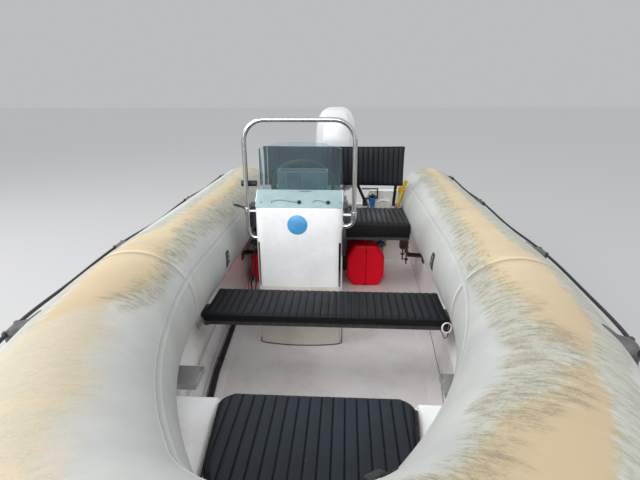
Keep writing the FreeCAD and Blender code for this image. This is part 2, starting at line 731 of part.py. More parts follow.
def seat_bracket(x, side):
    """A bent plate from the end of the seat board down to the side moulding."""
    low = size("bench_level") - size("bench_pad") - 20
    edge = HALF - size("bench_inset") - 4
    loops = []
    for at in (x - 35, x + 35):
        foot, lower = face_y(at, 320) - 0.9, face_y(at, 270) - 0.9
        loop = [(edge - 50, low + 4), (edge, low + 4), (edge, 328), (foot, 320), (lower, 270), (lower - 6, 270),
                (foot - 6, 314), (edge - 6, 321), (edge - 6, low - 6), (edge - 50, low - 6)]
        loops.append([(at, side * y, z) for y, z in loop])
    return form(loft(loops))


seat_sides = [seat_bracket(BX - 45, side) for side in (1, -1)]
fuse("bench_frame", seat_board, seat_foot, *seat_sides)
soft_box("bench_cushion", "@bench_front-@bench_depth+60", "-(@tube_half-@bench_inset)", "@bench_level-@bench_pad+@gap",
         "@bench_depth-60", "2*(@tube_half-@bench_inset)", "@bench_pad-@gap", "12")
soft_box("backrest", "@back_face-@back_thick", "-(@tube_half-@bench_inset-@back_inset)", "@back_low", "@back_thick", "2*(@tube_half-@bench_inset-@back_inset)",
         "@back_height", "14")
HX, HZ = BX - BD + 30, size("bench_level") + 10
FACE = size("back_face") - size("back_thick") - 11.3
arms = []
posts = []
ARM_Y = HALF - size("bench_inset") - size("back_inset") - 40
PAD_H = size("bench_pad") + 22
for side in (1, -1):
    for low_y, high_y in ((ARM_Y, ARM_Y), (250, 160)):
        y, top_y = side * low_y, side * high_y
        bar = pipe([(HX, y, HZ), (FACE, top_y, 790), (FACE, top_y, 960)], [60], 11)[0]
        boss = Part.makeCylinder(17, 22, V(HX, y - 11, HZ), V(0, 1, 0))
        bar = bar.fuse(boss).cut(Part.makeCylinder(6.05, 60, V(HX, y - 30, HZ), V(0, 1, 0)))
        arms.append(form(bar))
        post = Part.makeBox(44, 12, PAD_H, V(HX - 22, y + side * 11.4 - (0 if side > 0 else 12),
                                             size("bench_level") - size("bench_pad") + 0.3))
        pin = Part.makeCylinder(6, 26, V(HX, y - 13, HZ), V(0, 1, 0))
        posts.append(form(post.fuse(pin)))
group("backrest_arms", *arms)
group("backrest_hinges", *posts)

# Two portable fuel tanks below the bench, with slanted shoulders and lower edges.
def tank(label, low, formula):
    """An eight-sided tank whose outline runs along X, with soft edges."""
    owner = body(label)
    wide, tall, foot = size("tank_width"), size("tank_height"), size("deck_level") + size("gap")
    corners = []
    for inset, far, up, rise in ((41, 0, 0, "0"), (41, 1, 0, "0"), (0, 1, 70, "70"), (0, 1, tall - 97, "@tank_height-97"),
                                 (55, 1, tall, "@tank_height"), (55, 0, tall, "@tank_height"),
                                 (0, 0, tall - 97, "@tank_height-97"), (0, 0, 70, "70")):
        across = n(low + wide - inset, formula + "+@tank_width-%d" % inset) if far else n(low + inset, formula + "+%d" % inset)
        corners.append((across, n(foot + up, "@deck_level+@gap+" + rise)))
    grown = pad(owner, "YZ_Plane", corners, "@tank_length", "@tank_front-@tank_length")
    rounded(owner, grown, lambda e: True, "24")
    return owner


tanks = [tank("fuel_tank_port", HALF - 655, "@tube_half-655"), tank("fuel_tank_starboard", -HALF + 164, "-@tube_half+164")]

# Lifeline eyes and lines along each side.
EYES = [-1650, -800, 130, 925, 1500]
EYE_ANGLE = 38.0


def skin_at(x, side):
    """A point on the collar's ring-to-ring centre line and its heading, at a station."""
    for a, b in zip(MIDLINE, MIDLINE[1:]):
        if a.x <= x <= b.x:
            p = a + (b - a) * ((x - a.x) / (b.x - a.x))
            d = (b - a).normalize()
            return (p, d) if side > 0 else (flip(p), flip(d))
    return V(x, side * HALF, LEVEL), V(1, 0, 0)


def cone_loss(x):
    """How much thinner the stern cone is than the tube, at a station."""
    share = max(0.0, (STERN - x) / size("cone_length"))
    steps = [(0.0, 1.0), (0.3, 0.965), (0.58, 0.86), (0.82, 0.66), (0.95, 0.45), (1.0, 0.3)]
    return R * (1.0 - along(steps, share))


for side, name in ((1, "port"), (-1, "starboard")):
    pads = []
    for x in EYES:
        c, heading = skin_at(x, side)
        thin = cone_loss(x)
        base = on_tube(x, side, EYE_ANGLE, 0.0 - thin)
        out = (on_tube(x, side, EYE_ANGLE, 30.0 - thin) - base).normalize()
        if x < STERN:
            skin = Part.makeCone(R * 1.0 + CURVE_GAP, R * 0.965 + CURVE_GAP, size("cone_length") * 0.3, V(STERN, side * HALF, LEVEL),
                                 V(-1, 0, 0))
        else:
            skin = Part.makeCylinder(R + CURVE_GAP, 400, c - heading * 200, heading)
        plate = Part.makeCylinder(42, 28, base - out * 22, out)
        lug = Part.makeBox(34, 26, 52, V(-17, -13, -20))
        turned = FreeCAD.Rotation(heading, out.cross(heading), out, "XYZ")
        lug.Placement = FreeCAD.Placement(base, turned)
        hole = Part.makeCylinder(8, 120, base + out * 20 - heading * 60, heading)
        pads.append(form(plate.fuse(lug).cut(skin).cut(hole)))
    group("line_eyes_" + name, *pads)


def cord(label, points, width):
    """A round cord along straight runs joined by tangent arcs; prints its tightest arc."""
    pts = [V(*p) for p in points]
    runs = [(b - a).Length for a, b in zip(pts, pts[1:])]
    edges, here, tight = [], pts[0], 1e9
    for i in range(1, len(pts) - 1):
        a = (pts[i - 1] - pts[i]).normalize()
        b = (pts[i + 1] - pts[i]).normalize()
        half = a.getAngle(b) / 2.0
        turn = math.pi / 2.0 - half
        reach = 0.45 * min(runs[i - 1], runs[i])
        bend = reach / math.tan(turn)
        tight = min(tight, bend)
        p, q = pts[i] + a * reach, pts[i] + b * reach
        middle = pts[i] + (a + b).normalize() * (bend / math.sin(half) - bend)
        edges += [Part.LineSegment(here, p).toShape(), Part.Arc(p, middle, q).toShape()]
        here = q
    edges.append(Part.LineSegment(here, pts[-1]).toShape())
    path = Part.Wire(edges)
    start = Part.Circle(pts[0], pts[1] - pts[0], width / 2.0).toShape()
    tube = path.makePipeShell([Part.Wire([start])], True, False)
    ideal = path.Length * math.pi * width * width / 4
    print("cord %s length %.1f tightest arc %.0f volume share %.4f runs %.0f to %.0f" % (
        label, path.Length, tight, tube.Volume / ideal, min(runs), max(runs)))
    return form(tube, label)


LINE = 2 * size("line_radius")


def lifeline(side):
    """Points of the lifeline: straight through each eye and drawn nearly tight in between."""
    points = []
    for x in (EYES[0] - 80, EYES[0] - 28):
        points.append(on_tube(x, side, EYE_ANGLE, 20.0 - cone_loss(x)))
    for a, b in zip(EYES, EYES[1:]):
        low, high = a + 28, b - 28
        count = max(1, int(round((b - a - 220) / 120.0)))
        sag = 5.0 * min(1.0, (b - a) / 980.0)
        middle = [a + 110 + (b - a - 220) * i / float(count) for i in range(count + 1)]
        for x in [low] + middle + [high]:
            share = (1 - math.cos(2 * math.pi * (x - low) / (high - low))) / 2
            points.append(on_tube(x, side, EYE_ANGLE - sag * share, 20.0 - 3.0 * share - cone_loss(x)))
    for x, drop in ((EYES[-1] + 28, 0), (EYES[-1] + 78, 2)):
        points.append(on_tube(x, side, EYE_ANGLE - drop, 20.0 - drop))
    return [tuple(p) for p in points]


cord("lifeline_port", lifeline(1), LINE)
cord("lifeline_starboard", lifeline(-1), LINE)

# Control cable from the throttle box: a loop outboard, then down to the deck.
cord("control_cable", [
    (CX - 202, side_y - 60.6, 775), (CX - 200, side_y - 106, 780), (CX - 208, side_y - 148, 786),
    (CX - 236, side_y - 172, 786), (CX - 268, side_y - 160, 778), (CX - 284, side_y - 122, 758),
    (CX - 286, side_y - 88, 712), (CX - 284, side_y - 76, 636), (CX - 300, side_y - 76, 540), (CX - 326, side_y - 80, 430),
    (CX - 366, side_y - 88, 320), (CX - 420, side_y - 100, 215), (CX - 496, side_y - 126, 128),
    (CX - 590, side_y - 160, 68), (CX - 690, side_y - 194, 42), (CX - 796, side_y - 222, 36.4),
    (CX - 900, side_y - 232, 35.8), (CX - 1020, side_y - 234, 35.6), (CX - 1140, side_y - 232, 35.8),
    (CX - 1250, side_y - 229, 36.4), (STERN + size("transom_thick") + 0.6, side_y - 226, 38),
], 10)
cord("red_cable", [
    (CX - 536, side_y - 184, 33.6), (CX - 574, side_y - 194, 56), (CX - 608, side_y - 200, 94), (CX - 646, side_y - 202, 124),
    (CX - 690, side_y - 201, 136), (CX - 738, side_y - 196, 128), (CX - 774, side_y - 184, 108),
    (size("tank_front") + 0.6, side_y - 170, 92),
], 6)

# Conduit along the foot of the starboard side moulding.
line = [(680, -(along(DECK_EDGE, 680) - 22), DECK + 15.3), (120, -(along(DECK_EDGE, 100) - 22), DECK + 15.3),
        (-690, -(along(DECK_EDGE, -700) - 22), DECK + 15.3)]
form(pipe(line, [600], 15)[0], "side_conduit")

# Yellow staff leaning from the deck behind the port tank up past the bench to the port tube.
low, high = V(-1420, 364, DECK + 16), V(-1372, 556, 752)
lean = (high - low).normalize()
staff = Part.makeCylinder(13, (high - low).Length, low, lean)
form(staff.fuse(Part.makeSphere(15.6, low)), "staff")

# Tank caps on the outer shoulders, and the hose from the port tank to the filter on the transom.
caps = []
for side, owner in ((1, tanks[0]), (-1, tanks[1])):
    outer_y = 381 if side > 0 else 600
    base = V(size("tank_front") - 66, side * (outer_y - 40), DECK + 0.3 + size("tank_height") - 24)
    axis = V(0, side * 0.62, 0.78).normalize()
    cap = Part.makeCylinder(27, 30, base, axis).fuse(Part.makeCylinder(22, 44, base, axis))
    clear = owner.Shape.copy()
    clear.translate(axis * 0.5)
    caps.append(form(cap.cut([owner.Shape, clear])))
group("tank_caps", *caps)
FX, FZ = STERN + size("transom_thick") + 0.3, 525
plate = Part.makeBox(4, 50, 60, V(FX, 285, FZ))
arm = Part.makeBox(54, 34, 8, V(FX, 293, FZ + 52))
bowl = Part.makeCylinder(20, 80, V(FX + 33, 310, FZ - 20), V(0, 0, 1))
form(plate.fuse([arm, bowl]), "fuel_filter")
cord("fuel_hose", [
    (size("tank_front") - 250, 300, DECK + size("tank_height") + 0.9), (size("tank_front") - 255, 301, DECK + 348),
    (size("tank_front") - 294, 306, DECK + 372), (size("tank_front") - 344, 310, DECK + 370),
    (size("tank_front") - 398, 311, DECK + 368), (size("tank_front") - 452, 311, DECK + 380),
    (size("tank_front") - 494, 310.5, DECK + 408), (size("tank_front") - 513, 310, DECK + 444),
    (FX + 33, 310, FZ - 20.6),
], 8)

# Outboard: clamp bracket, swivel, leg, powerhead, cowl, gearcase and propeller.
NZ = size("notch_level")
clamp_low = block("@stern_face-14.3", "-110", "@notch_level-260", "14", "220", "262")
clamp_top = block("@stern_face-14.3", "-110", "@notch_level+@gap", "@transom_thick+39.6", "220", "22")
clamp_in = block("@stern_face+@transom_thick+@gap", "-110", "@notch_level-120", "25", "220", "142")
tube_tilt = rod((size("tilt_back"), -100, size("tilt_level")), (size("tilt_back"), 100, size("tilt_level")), "13")
ear_p = block("@stern_face-70", "78", "@notch_level-120", "58", "22", "160")
ear_s = block("@stern_face-70", "-100", "@notch_level-120", "58", "22", "160")
fuse("motor_bracket", clamp_low, clamp_top, clamp_in, ear_p, ear_s, tube_tilt)

TX, TZ = size("tilt_back"), size("tilt_level")
SX = size("steer_back")
sleeve = Part.makeCylinder(22, 140, V(TX, -70, TZ), V(0, 1, 0)).cut(Part.makeCylinder(13.05, 150, V(TX, -75, TZ), V(0, 1, 0)))
swivel_block = Part.makeBox(100, 90, 290, V(SX - 10, -45, TZ - 260))
swivel_tube = Part.makeCylinder(34, 314, V(SX, 0, TZ - 280), V(0, 0, 1))
swivel = sleeve.fuse([swivel_block, swivel_tube]).cut(Part.makeCylinder(14, 400, V(SX, 0, TZ - 300), V(0, 0, 1)))
swivel = swivel.cut(Part.makeCylinder(13.05, 150, V(TX, -75, TZ), V(0, 1, 0)))
form(swivel, "motor_swivel")

PL = size("plate_level")


def fin(z, front, back, half):
    """A streamlined ten-sided section of the leg, thickest a third of the way back."""
    run = front - back
    rows = [(front, 0.22), (front - run * 0.10, 0.62), (front - run * 0.30, 1.0), (front - run * 0.62, 0.86), (back, 0.24)]
    loop = [(x, half * s, z) for x, s in rows]
    return loop + [(x, -y, z) for x, y, z in reversed(loop)]


steer_pin = Part.makeCylinder(13.95, 345, V(SX, 0, TZ - 288), V(0, 0, 1))
yoke_low = Part.makeBox(90, 60, 26, V(SX - 75, -30, TZ - 310))
yoke_top = Part.makeBox(120, 80, 24, V(SX - 100, -40, TZ + 52))
leg = loft([fin(PL + 0.3, SX - 46, SX - 215, 26), fin(-60, SX - 52, SX - 186, 32), fin(190, SX - 50, SX - 180, 42),
            fin(420, SX - 48, SX - 196, 56), fin(560, SX - 44, SX - 226, 84), fin(TZ + 80, SX - 30, SX - 262, 110)])
PAN = size("cowl_low") - 0.3
CF, CL, CH = size("cowl_front"), size("cowl_length"), size("cowl_half")


def belly(z, front, back, half):
    cut_x, cut_y = 70, 62
    loop = [(front, half - cut_y, z), (front - cut_x, half, z), (back + cut_x, half, z), (back, half - cut_y, z)]
    return loop + [(x, -y, z) for x, y, z in reversed(loop)]


pan_box = loft([belly(PAN - 74, CF - 70, CF - CL + 110, CH - 52), belly(PAN - 34, CF - 26, CF - CL + 40, CH - 18),
                belly(PAN, CF - 10, CF - CL + 14, CH - 8)])
form(leg.fuse([steer_pin, yoke_low, yoke_top, pan_box]).removeSplitter(), "motor_leg")
block("@cowl_front-400", "-115", "@cowl_low", "330", "230", "300", "powerhead")

COWL_X = size("cowl_front")
CB = size("cowl_low")
CT = size("cowl_level")


def dome(share, front, back, half):
    z = CB + (CT - CB) * share
    run = front - back
    rows = [(front, half * 0.52), (front - run * 0.05, half * 0.78), (front - run * 0.16, half * 0.96),
            (front - run * 0.4, half), (front - run * 0.72, half * 0.98), (back + run * 0.07, half * 0.86),
            (back, half * 0.6)]
    loop = [(x, y, z) for x, y in rows]
    return loop + [(x, -y, z) for x, y, z in reversed(loop)]


outer = loft([dome(0.0, CF, CF - CL, CH - 6), dome(0.28, CF + 2, CF - CL - 6, CH), dome(0.62, CF - 6, CF - CL - 2, CH - 4),
              dome(0.80, CF - 18, CF - CL + 14, CH - 16), dome(0.91, CF - 44, CF - CL + 44, CH - 38),
              dome(0.97, CF - 80, CF - CL + 86, CH - 66), dome(1.0, CF - 130, CF - CL + 140, CH - 104)])
inner = loft([dome(-0.002, CF - 30, CF - CL + 30, CH - 30), dome(0.6, CF - 34, CF - CL + 32, CH - 34),
              dome(0.84, CF - 90, CF - CL + 90, CH - 80)])
form(outer.cut(inner), "motor_cowl")

PX, PZ = SX - 115, size("prop_level")
gear = loft([
    [(PX - 70, -12, PL), (PX + 80, -12, PL), (PX + 80, 12, PL), (PX - 70, 12, PL)],
    [(PX - 40, -12, PZ - 150), (PX + 40, -12, PZ - 150), (PX + 40, 12, PZ - 150), (PX - 40, 12, PZ - 150)],
])
bullet = Part.makeCylinder(38, 230, V(PX - 90, 0, PZ), V(1, 0, 0))
tip = Part.makeCone(38, 8, 70, V(PX + 140, 0, PZ), V(1, 0, 0))
vent = Part.makeBox(330, 180, 8, V(PX - 190, -90, PL - 8))
shaft = Part.makeCylinder(9, 130, V(PX - 215, 0, PZ), V(1, 0, 0))
form(gear.fuse([bullet, tip, vent, shaft]).removeSplitter(), "gearcase")

prop_parts = [Part.makeCylinder(34, 96, V(PX - 190, 0, PZ), V(1, 0, 0))]
for k in range(3):
    blade = Part.makeBox(10, 110, size("prop_radius") - 24, V(-5, -55, 24))
    blade.rotate(V(0, 0, 0), V(0, 0, 1), 32)
    blade.rotate(V(0, 0, 0), V(1, 0, 0), 120 * k)
    blade.translate(V(PX - 142, 0, PZ))
    prop_parts.append(blade)
prop = prop_parts[0].fuse(prop_parts[1:])
prop = prop.cut(Part.makeCylinder(9.05, 140, V(PX - 220, 0, PZ), V(1, 0, 0)))
form(prop.removeSplitter(), "propeller")

# Brackets below the thwart and the stem eye.
MID_X = size("thwart_front") - size("thwart_depth") / 2
group("thwart_brackets", bracket(MID_X, 1, 150, 95), bracket(MID_X, -1, 150, 95), bracket(605, 1), bracket(605, -1))
eye_plate = body("bow_eye")
run = V(1600 - 1520, 0, 236 - 148).normalize()
out = V(run.z, 0, -run.x)
foot = V(1560, 0, 192)
loop = [foot - run * 36 + out * 0.3, foot + run * 36 + out * 0.3, foot + run * 16 + out * 44, foot - run * 16 + out * 44]
pad(eye_plate, "XZ_Plane", [(n(p.x), n(p.z)) for p in loop], "12", "-6")
EYE = foot + out * 24
eye_hole = eye_plate.newObject("PartDesign::SubtractiveCylinder", "Eye")
bind(eye_hole, "Radius", "@eye_radius")
bind(eye_hole, "Height", "40")
eye_hole.Placement = FreeCAD.Placement(V(EYE.x, 20, EYE.z), FreeCAD.Rotation(V(0, 0, 1), V(0, -1, 0)))
eye_plate.Tip = eye_hole
doc.recompute()

print("eye", EYE.x, EYE.z)
doc.recompute()
wanted = """tube_port tube_starboard tube_bow strake_port strake_starboard strake_bow hull deck side_moulding
bow_moulding transom bow_lid bow_cushion lifeline_port lifeline_starboard control_cable red_cable fuel_hose side_conduit staff tank_caps thwart_board thwart_cushion thwart_brackets console windscreen
console_tray console_rail steering_wheel helm_unit throttle_box throttle_lever bench_frame bench_cushion
backrest backrest_arms backrest_hinges fuel_tank_port fuel_tank_starboard fuel_filter line_eyes_port
line_eyes_starboard motor_bracket motor_swivel motor_leg powerhead motor_cowl gearcase propeller bow_eye""".split()
for item in doc.Objects:
    if "Invalid" in item.State or "Error" in item.State:
        print("state", item.Label, item.State)
for name in wanted:
    found = doc.getObjectsByLabel(name)
    if len(found) != 1:
        print("label", name, len(found))
        continue
    shape = found[0].Shape
    if not shape.isValid() or not shape.Solids:
        print("shape", name, shape.isValid(), len(shape.Solids))
    shape.exportStep("parts/%s.step" % name)
    box = shape.BoundBox
    print("%-20s solids %d  vol %9.0f cm3  x %6.0f %6.0f  y %6.0f %6.0f  z %6.0f %6.0f" % (
        name, len(shape.Solids), shape.Volume / 1000, box.XMin, box.XMax, box.YMin, box.YMax, box.ZMin, box.ZMax))
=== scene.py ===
import bpy
import bmesh
import math
from mathutils import Matrix, Vector
from mathutils.bvhtree import BVHTree


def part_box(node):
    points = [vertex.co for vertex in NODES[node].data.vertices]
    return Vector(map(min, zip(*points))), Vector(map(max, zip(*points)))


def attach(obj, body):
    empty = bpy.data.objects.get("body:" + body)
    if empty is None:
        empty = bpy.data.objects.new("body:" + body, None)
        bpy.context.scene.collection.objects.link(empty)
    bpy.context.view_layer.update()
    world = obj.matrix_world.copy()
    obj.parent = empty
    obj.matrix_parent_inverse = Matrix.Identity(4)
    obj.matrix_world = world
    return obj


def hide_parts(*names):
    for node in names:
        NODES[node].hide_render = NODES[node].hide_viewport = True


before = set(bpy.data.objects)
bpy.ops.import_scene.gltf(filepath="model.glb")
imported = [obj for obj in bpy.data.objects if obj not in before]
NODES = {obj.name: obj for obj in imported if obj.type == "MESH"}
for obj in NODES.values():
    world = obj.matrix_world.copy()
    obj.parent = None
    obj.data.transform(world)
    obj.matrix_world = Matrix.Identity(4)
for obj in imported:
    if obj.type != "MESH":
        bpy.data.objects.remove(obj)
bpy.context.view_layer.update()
scene = bpy.context.scene
scene.view_settings.view_transform = "Standard"
scene.render.film_transparent = False


# Camera: over the bow, looking aft and down into the boat.
LENS_MM, SENSOR_MM = 24.75, 36.0


def set_camera():
    pitch, roll, yaw = (math.radians(a) for a in (18.65, 0.18, -3.31))
    ahead = Vector((-math.cos(yaw) * math.cos(pitch), math.sin(yaw) * math.cos(pitch), -math.sin(pitch)))
    right = Vector((math.sin(yaw), math.cos(yaw), 0.0))
    down = ahead.cross(right)
    if down.z > 0:
        down = -down
    x_axis = right * math.cos(roll) + down * math.sin(roll)
    y_axis = -(down * math.cos(roll) - right * math.sin(roll))
    turn = Matrix((x_axis, y_axis, -ahead)).transposed().to_4x4()
    data = bpy.data.cameras.new("Camera")
    data.sensor_fit = "HORIZONTAL"
    data.sensor_width = SENSOR_MM
    data.lens = LENS_MM
    data.clip_start = 0.01
    camera = bpy.data.objects.new("Camera", data)
    camera.matrix_world = Matrix.Translation((2.014, 0.085, 1.403)) @ turn
    scene.collection.objects.link(camera)
    scene.camera = camera


set_camera()

# The collar's own measures, in metres.
TUBE_R, HALF, LEVEL = 0.235, 0.764, 0.570
BEND_X, BEND_R, BEND_A, NOSE_R = 0.171, 2.584, math.radians(33), 0.414
RISE, STERN, CONE, JOINT = 0.076, -1.606, 0.344, 0.450
KNEE_X = BEND_X + BEND_R * math.sin(BEND_A)
KNEE_Y = HALF - BEND_R * (1 - math.cos(BEND_A))
NOSE_X = KNEE_X - NOSE_R * math.sin(BEND_A)
NOSE_SHIFT = KNEE_Y - NOSE_R * math.cos(BEND_A)
BEND_END = BEND_R * BEND_A
CONE_STEPS = [(0, 1), (0.3, 0.965), (0.58, 0.86), (0.82, 0.66), (0.95, 0.45), (1, 0.3)]


def between(table, x):
    """Straight interpolation in a table of (x, value) rows."""
    if x <= table[0][0]:
        return table[0][1]
    for (a, va), (b, vb) in zip(table, table[1:]):
        if x <= b:
            return va + (vb - va) * (x - a) / (b - a)
    return table[-1][1]


def collar_at(turn, side):
    """Centre and heading of the tube at a plan turn in degrees on the bend and nose."""
    t = math.radians(turn)
    if t <= BEND_A:
        x = BEND_X + BEND_R * math.sin(t)
        y = HALF - BEND_R * (1 - math.cos(t))
    else:
        x = NOSE_X + NOSE_R * math.sin(t)
        y = NOSE_R * math.cos(t) + NOSE_SHIFT * (90.0 - turn) / (90.0 - math.degrees(BEND_A))
    z = LEVEL + RISE * (x - BEND_X) ** 2
    slope = 2 * RISE * (x - BEND_X) * math.cos(t)
    return Vector((x, side * y, z)), Vector((math.cos(t), -side * math.sin(t), slope)).normalized()


def turn_at(x):
    return math.degrees(math.asin(min(0.999, max(0.0, (x - BEND_X) / BEND_R))))


def cone_share(x):
    return between(CONE_STEPS, max(0.0, (STERN - x) / CONE))


def tube_axes(x, side, turn=None):
    """Centre, heading, outer side and up of the tube, and its radius, at a station or at a plan turn."""
    if turn is None and x <= BEND_X:
        centre, heading = Vector((x, side * HALF, LEVEL)), Vector((1, 0, 0))
    else:
        centre, heading = collar_at(turn_at(x) if turn is None else turn, side)
    up = (Vector((0, 0, 1)) - heading * heading.z).normalized()
    outer = up.cross(heading) * -side
    if outer.dot(Vector((0.35 if turn and turn > 45 else 0.0, side, 0))) < 0:
        outer = -outer
    return centre, heading, outer, up, TUBE_R * cone_share(centre.x)


def on_tube(x, side, angle, out, turn=None):
    """A point off the tube: angle up from its outer side, stand-off out."""
    centre, _, outer, up, radius = tube_axes(x, side, turn)
    a = math.radians(angle)
    return centre + (outer * math.cos(a) + up * math.sin(a)) * (radius + out)


# Object helpers.
def keep(name, bm, material, body="boat", sharp=40, replaces=()):
    """Makes an object of a bmesh, riding on a body and standing for CAD nodes."""
    bmesh.ops.remove_doubles(bm, verts=bm.verts, dist=1e-6)
    bmesh.ops.recalc_face_normals(bm, faces=bm.faces)
    mesh = bpy.data.meshes.new(name)
    bm.to_mesh(mesh)
    bm.free()
    mesh.shade_smooth()
    if sharp:
        mesh.set_sharp_from_angle(angle=math.radians(sharp))
    mesh.materials.append(material)
    obj = bpy.data.objects.new(name, mesh)
    scene.collection.objects.link(obj)
    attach(obj, body)
    if replaces:
        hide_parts(*replaces)
    return obj


def aim(axis):
    """A turn that takes +Z to an axis."""
    return Vector(axis).normalized().to_track_quat("Z", "Y").to_matrix().to_4x4()


def add_rod(bm, a, b, radius, end_radius=None, segments=20):
    a, b = Vector(a), Vector(b)
    place = Matrix.Translation((a + b) / 2) @ aim(b - a)
    return bmesh.ops.create_cone(bm, cap_ends=True, segments=segments, radius1=radius,
                                 radius2=radius if end_radius is None else end_radius,
                                 depth=(b - a).length, matrix=place)["verts"]


def add_block(bm, low, high, soft=0.002, turn=None, steps=2):
    """A block between two corners with softened edges."""
    low, high = Vector(low), Vector(high)
    middle, span = (low + high) / 2, high - low
    place = Matrix.Translation(middle) @ (turn or Matrix()) @ Matrix.Diagonal((*span, 1))
    verts = bmesh.ops.create_cube(bm, size=1.0, matrix=place)["verts"]
    if soft:
        edges = list({e for v in verts for e in v.link_edges})
        bmesh.ops.bevel(bm, geom=edges, offset=soft, affect="EDGES", segments=steps, profile=0.5,
                        material=-1)
    return verts


def add_turned(bm, base, axis, profile, steps=28):
    """A lathe-turned solid: rows of (radius, height) up an axis from a base."""
    place = Matrix.Translation(base) @ aim(axis)
    row = [bm.verts.new(place @ Vector((r, 0, h))) for r, h in profile]
    edges = [bm.edges.new(pair) for pair in zip(row, row[1:])]
    bmesh.ops.spin(bm, geom=row + edges, cent=base, axis=Vector(axis).normalized(), angle=math.tau,
                   steps=steps, use_merge=True, use_duplicate=False)


def add_ring(bm, centre, axis, radius, thick, steps=40, sides=12, arc=math.tau, start=None):
    """A round ring, or a part of one, of round bar."""
    axis = Vector(axis).normalized()
    out = Vector(start).normalized() if start else (aim(axis) @ Vector((1, 0, 0)))
    place = Matrix.Translation(Vector(centre) + out * radius) @ aim(axis.cross(out))
    made = bmesh.ops.create_circle(bm, cap_ends=arc < 6.28, segments=sides, radius=thick,
                                   matrix=place)["verts"]
    edges = list({e for v in made for e in v.link_edges})
    faces = list({f for v in made for f in v.link_faces})
    bmesh.ops.spin(bm, geom=made + edges + faces, cent=centre, axis=axis, angle=arc, steps=steps,
                   use_merge=arc > 6.28, use_duplicate=False)


def add_screw(bm, place, axis, radius=0.006, height=0.003):
    """A domed screw head on a washer."""
    washer = [(0, -0.0005), (radius * 1.35, -0.0005), (radius * 1.35, height * 0.3)]
    head = [(radius, height * 0.35), (radius * 0.9, height * 0.8), (radius * 0.45, height), (0, height)]
    add_turned(bm, Vector(place), axis, washer + head, 14)


def sweep(bm, rows, closed=True, caps=True):
    """A sheet laid through rows of points, closed round where asked. Gives its rows of vertices."""
    around, along = len(rows[0]), len(rows)
    columns = around + 1 if closed else around
    made = bmesh.ops.create_grid(bm, x_segments=along - 1, y_segments=columns - 1, size=1.0)["verts"]
    rings = [[None] * columns for _ in rows]
    for v in made:
        i = round((v.co.x + 1) / 2 * (along - 1))
        j = round((v.co.y + 1) / 2 * (columns - 1))
        rings[i][j] = v
        v.co = rows[i][j % around]
    if caps and closed:
        for ring in (rings[0], rings[-1]):
            bm.faces.new(ring[:around])
    return rings


def follow(points, section, ups=None):
    """Rows of points for a section carried along a line of points."""
    rows = []
    count = len(points)
    normal = None
    for i, p in enumerate(points):
        ahead = (points[min(i + 1, count - 1)] - points[max(i - 1, 0)]).normalized()
        if ups is not None:
            normal = ups[i]
        elif normal is None:
            normal = ahead.orthogonal()
        normal = (normal - ahead * normal.dot(ahead)).normalized()
        across = ahead.cross(normal)
        rows.append([p + across * a + normal * b for a, b in (section(i) if callable(section) else section)])
    return rows


def round_section(radius, sides=10):
    return [(radius * math.cos(math.tau * k / sides), radius * math.sin(math.tau * k / sides))
            for k in range(sides)]


# Materials.
def shader_of(name, colour, rough, metal=0.0):
    mat = bpy.data.materials.new(name)
    mat.use_nodes = True
    shader = mat.node_tree.nodes["Principled BSDF"]
    shader.inputs["Base Color"].default_value = (*colour, 1.0)
    shader.inputs["Roughness"].default_value = rough
    shader.inputs["Metallic"].default_value = metal
    return mat, mat.node_tree.nodes, mat.node_tree.links, shader


def place_nodes(nodes, links, source="Object", scale=(1, 1, 1), turn=(0, 0, 0)):
    """Coordinates of the piece, scaled and turned for a pattern."""
    coord = nodes.new("ShaderNodeTexCoord")
    mapping = nodes.new("ShaderNodeMapping")
    mapping.inputs["Scale"].default_value = scale
    mapping.inputs["Rotation"].default_value = turn
    links.new(coord.outputs[source], mapping.inputs["Vector"])
    return mapping.outputs["Vector"]


def noise(nodes, links, vector, scale, detail=4.0, rough=0.55):
    node = nodes.new("ShaderNodeTexNoise")
    node.inputs["Scale"].default_value = scale
    node.inputs["Detail"].default_value = detail
    node.inputs["Roughness"].default_value = rough
    links.new(vector, node.inputs["Vector"])
    return node.outputs["Fac"]


def ramp(nodes, links, value, low, high, out_low=0.0, out_high=1.0):
    node = nodes.new("ShaderNodeMapRange")
    node.interpolation_type = "SMOOTHSTEP"
    for key, number in (("From Min", low), ("From Max", high), ("To Min", out_low), ("To Max", out_high)):
        node.inputs[key].default_value = number
    links.new(value, node.inputs["Value"])
    return node.outputs["Result"]


def maths(nodes, links, kind, a, b):
    node = nodes.new("ShaderNodeMath")
    node.operation = kind
    for i, item in enumerate((a, b)):
        if isinstance(item, (int, float)):
            node.inputs[i].default_value = item
        else:
            links.new(item, node.inputs[i])
    return node.outputs["Value"]


def tint(nodes, links, share, first, second, kind="MIX"):
    node = nodes.new("ShaderNodeMix")
    node.data_type = "RGBA"
    node.blend_type = kind
    if isinstance(share, (int, float)):
        node.inputs["Factor"].default_value = share
    else:
        links.new(share, node.inputs["Factor"])
    for key, item in (("A", first), ("B", second)):
        socket = [s for s in node.inputs if s.name == key and s.type == "RGBA"][0]
        if isinstance(item, tuple):
            socket.default_value = (*item, 1.0)
        else:
            links.new(item, socket)
    return [s for s in node.outputs if s.type == "RGBA"][0]


def bump(nodes, links, shader, height, strength, distance, under=None):
    node = nodes.new("ShaderNodeBump")
    node.inputs["Strength"].default_value = strength
    node.inputs["Distance"].default_value = distance
    links.new(height, node.inputs["Height"])
    if under is not None:
        links.new(under, node.inputs["Normal"])
    links.new(node.outputs["Normal"], shader.inputs["Normal"])
    return node.outputs["Normal"]


def attribute(nodes, name):
    node = nodes.new("ShaderNodeAttribute")
    node.attribute_name = name
    return node.outputs["Fac"]


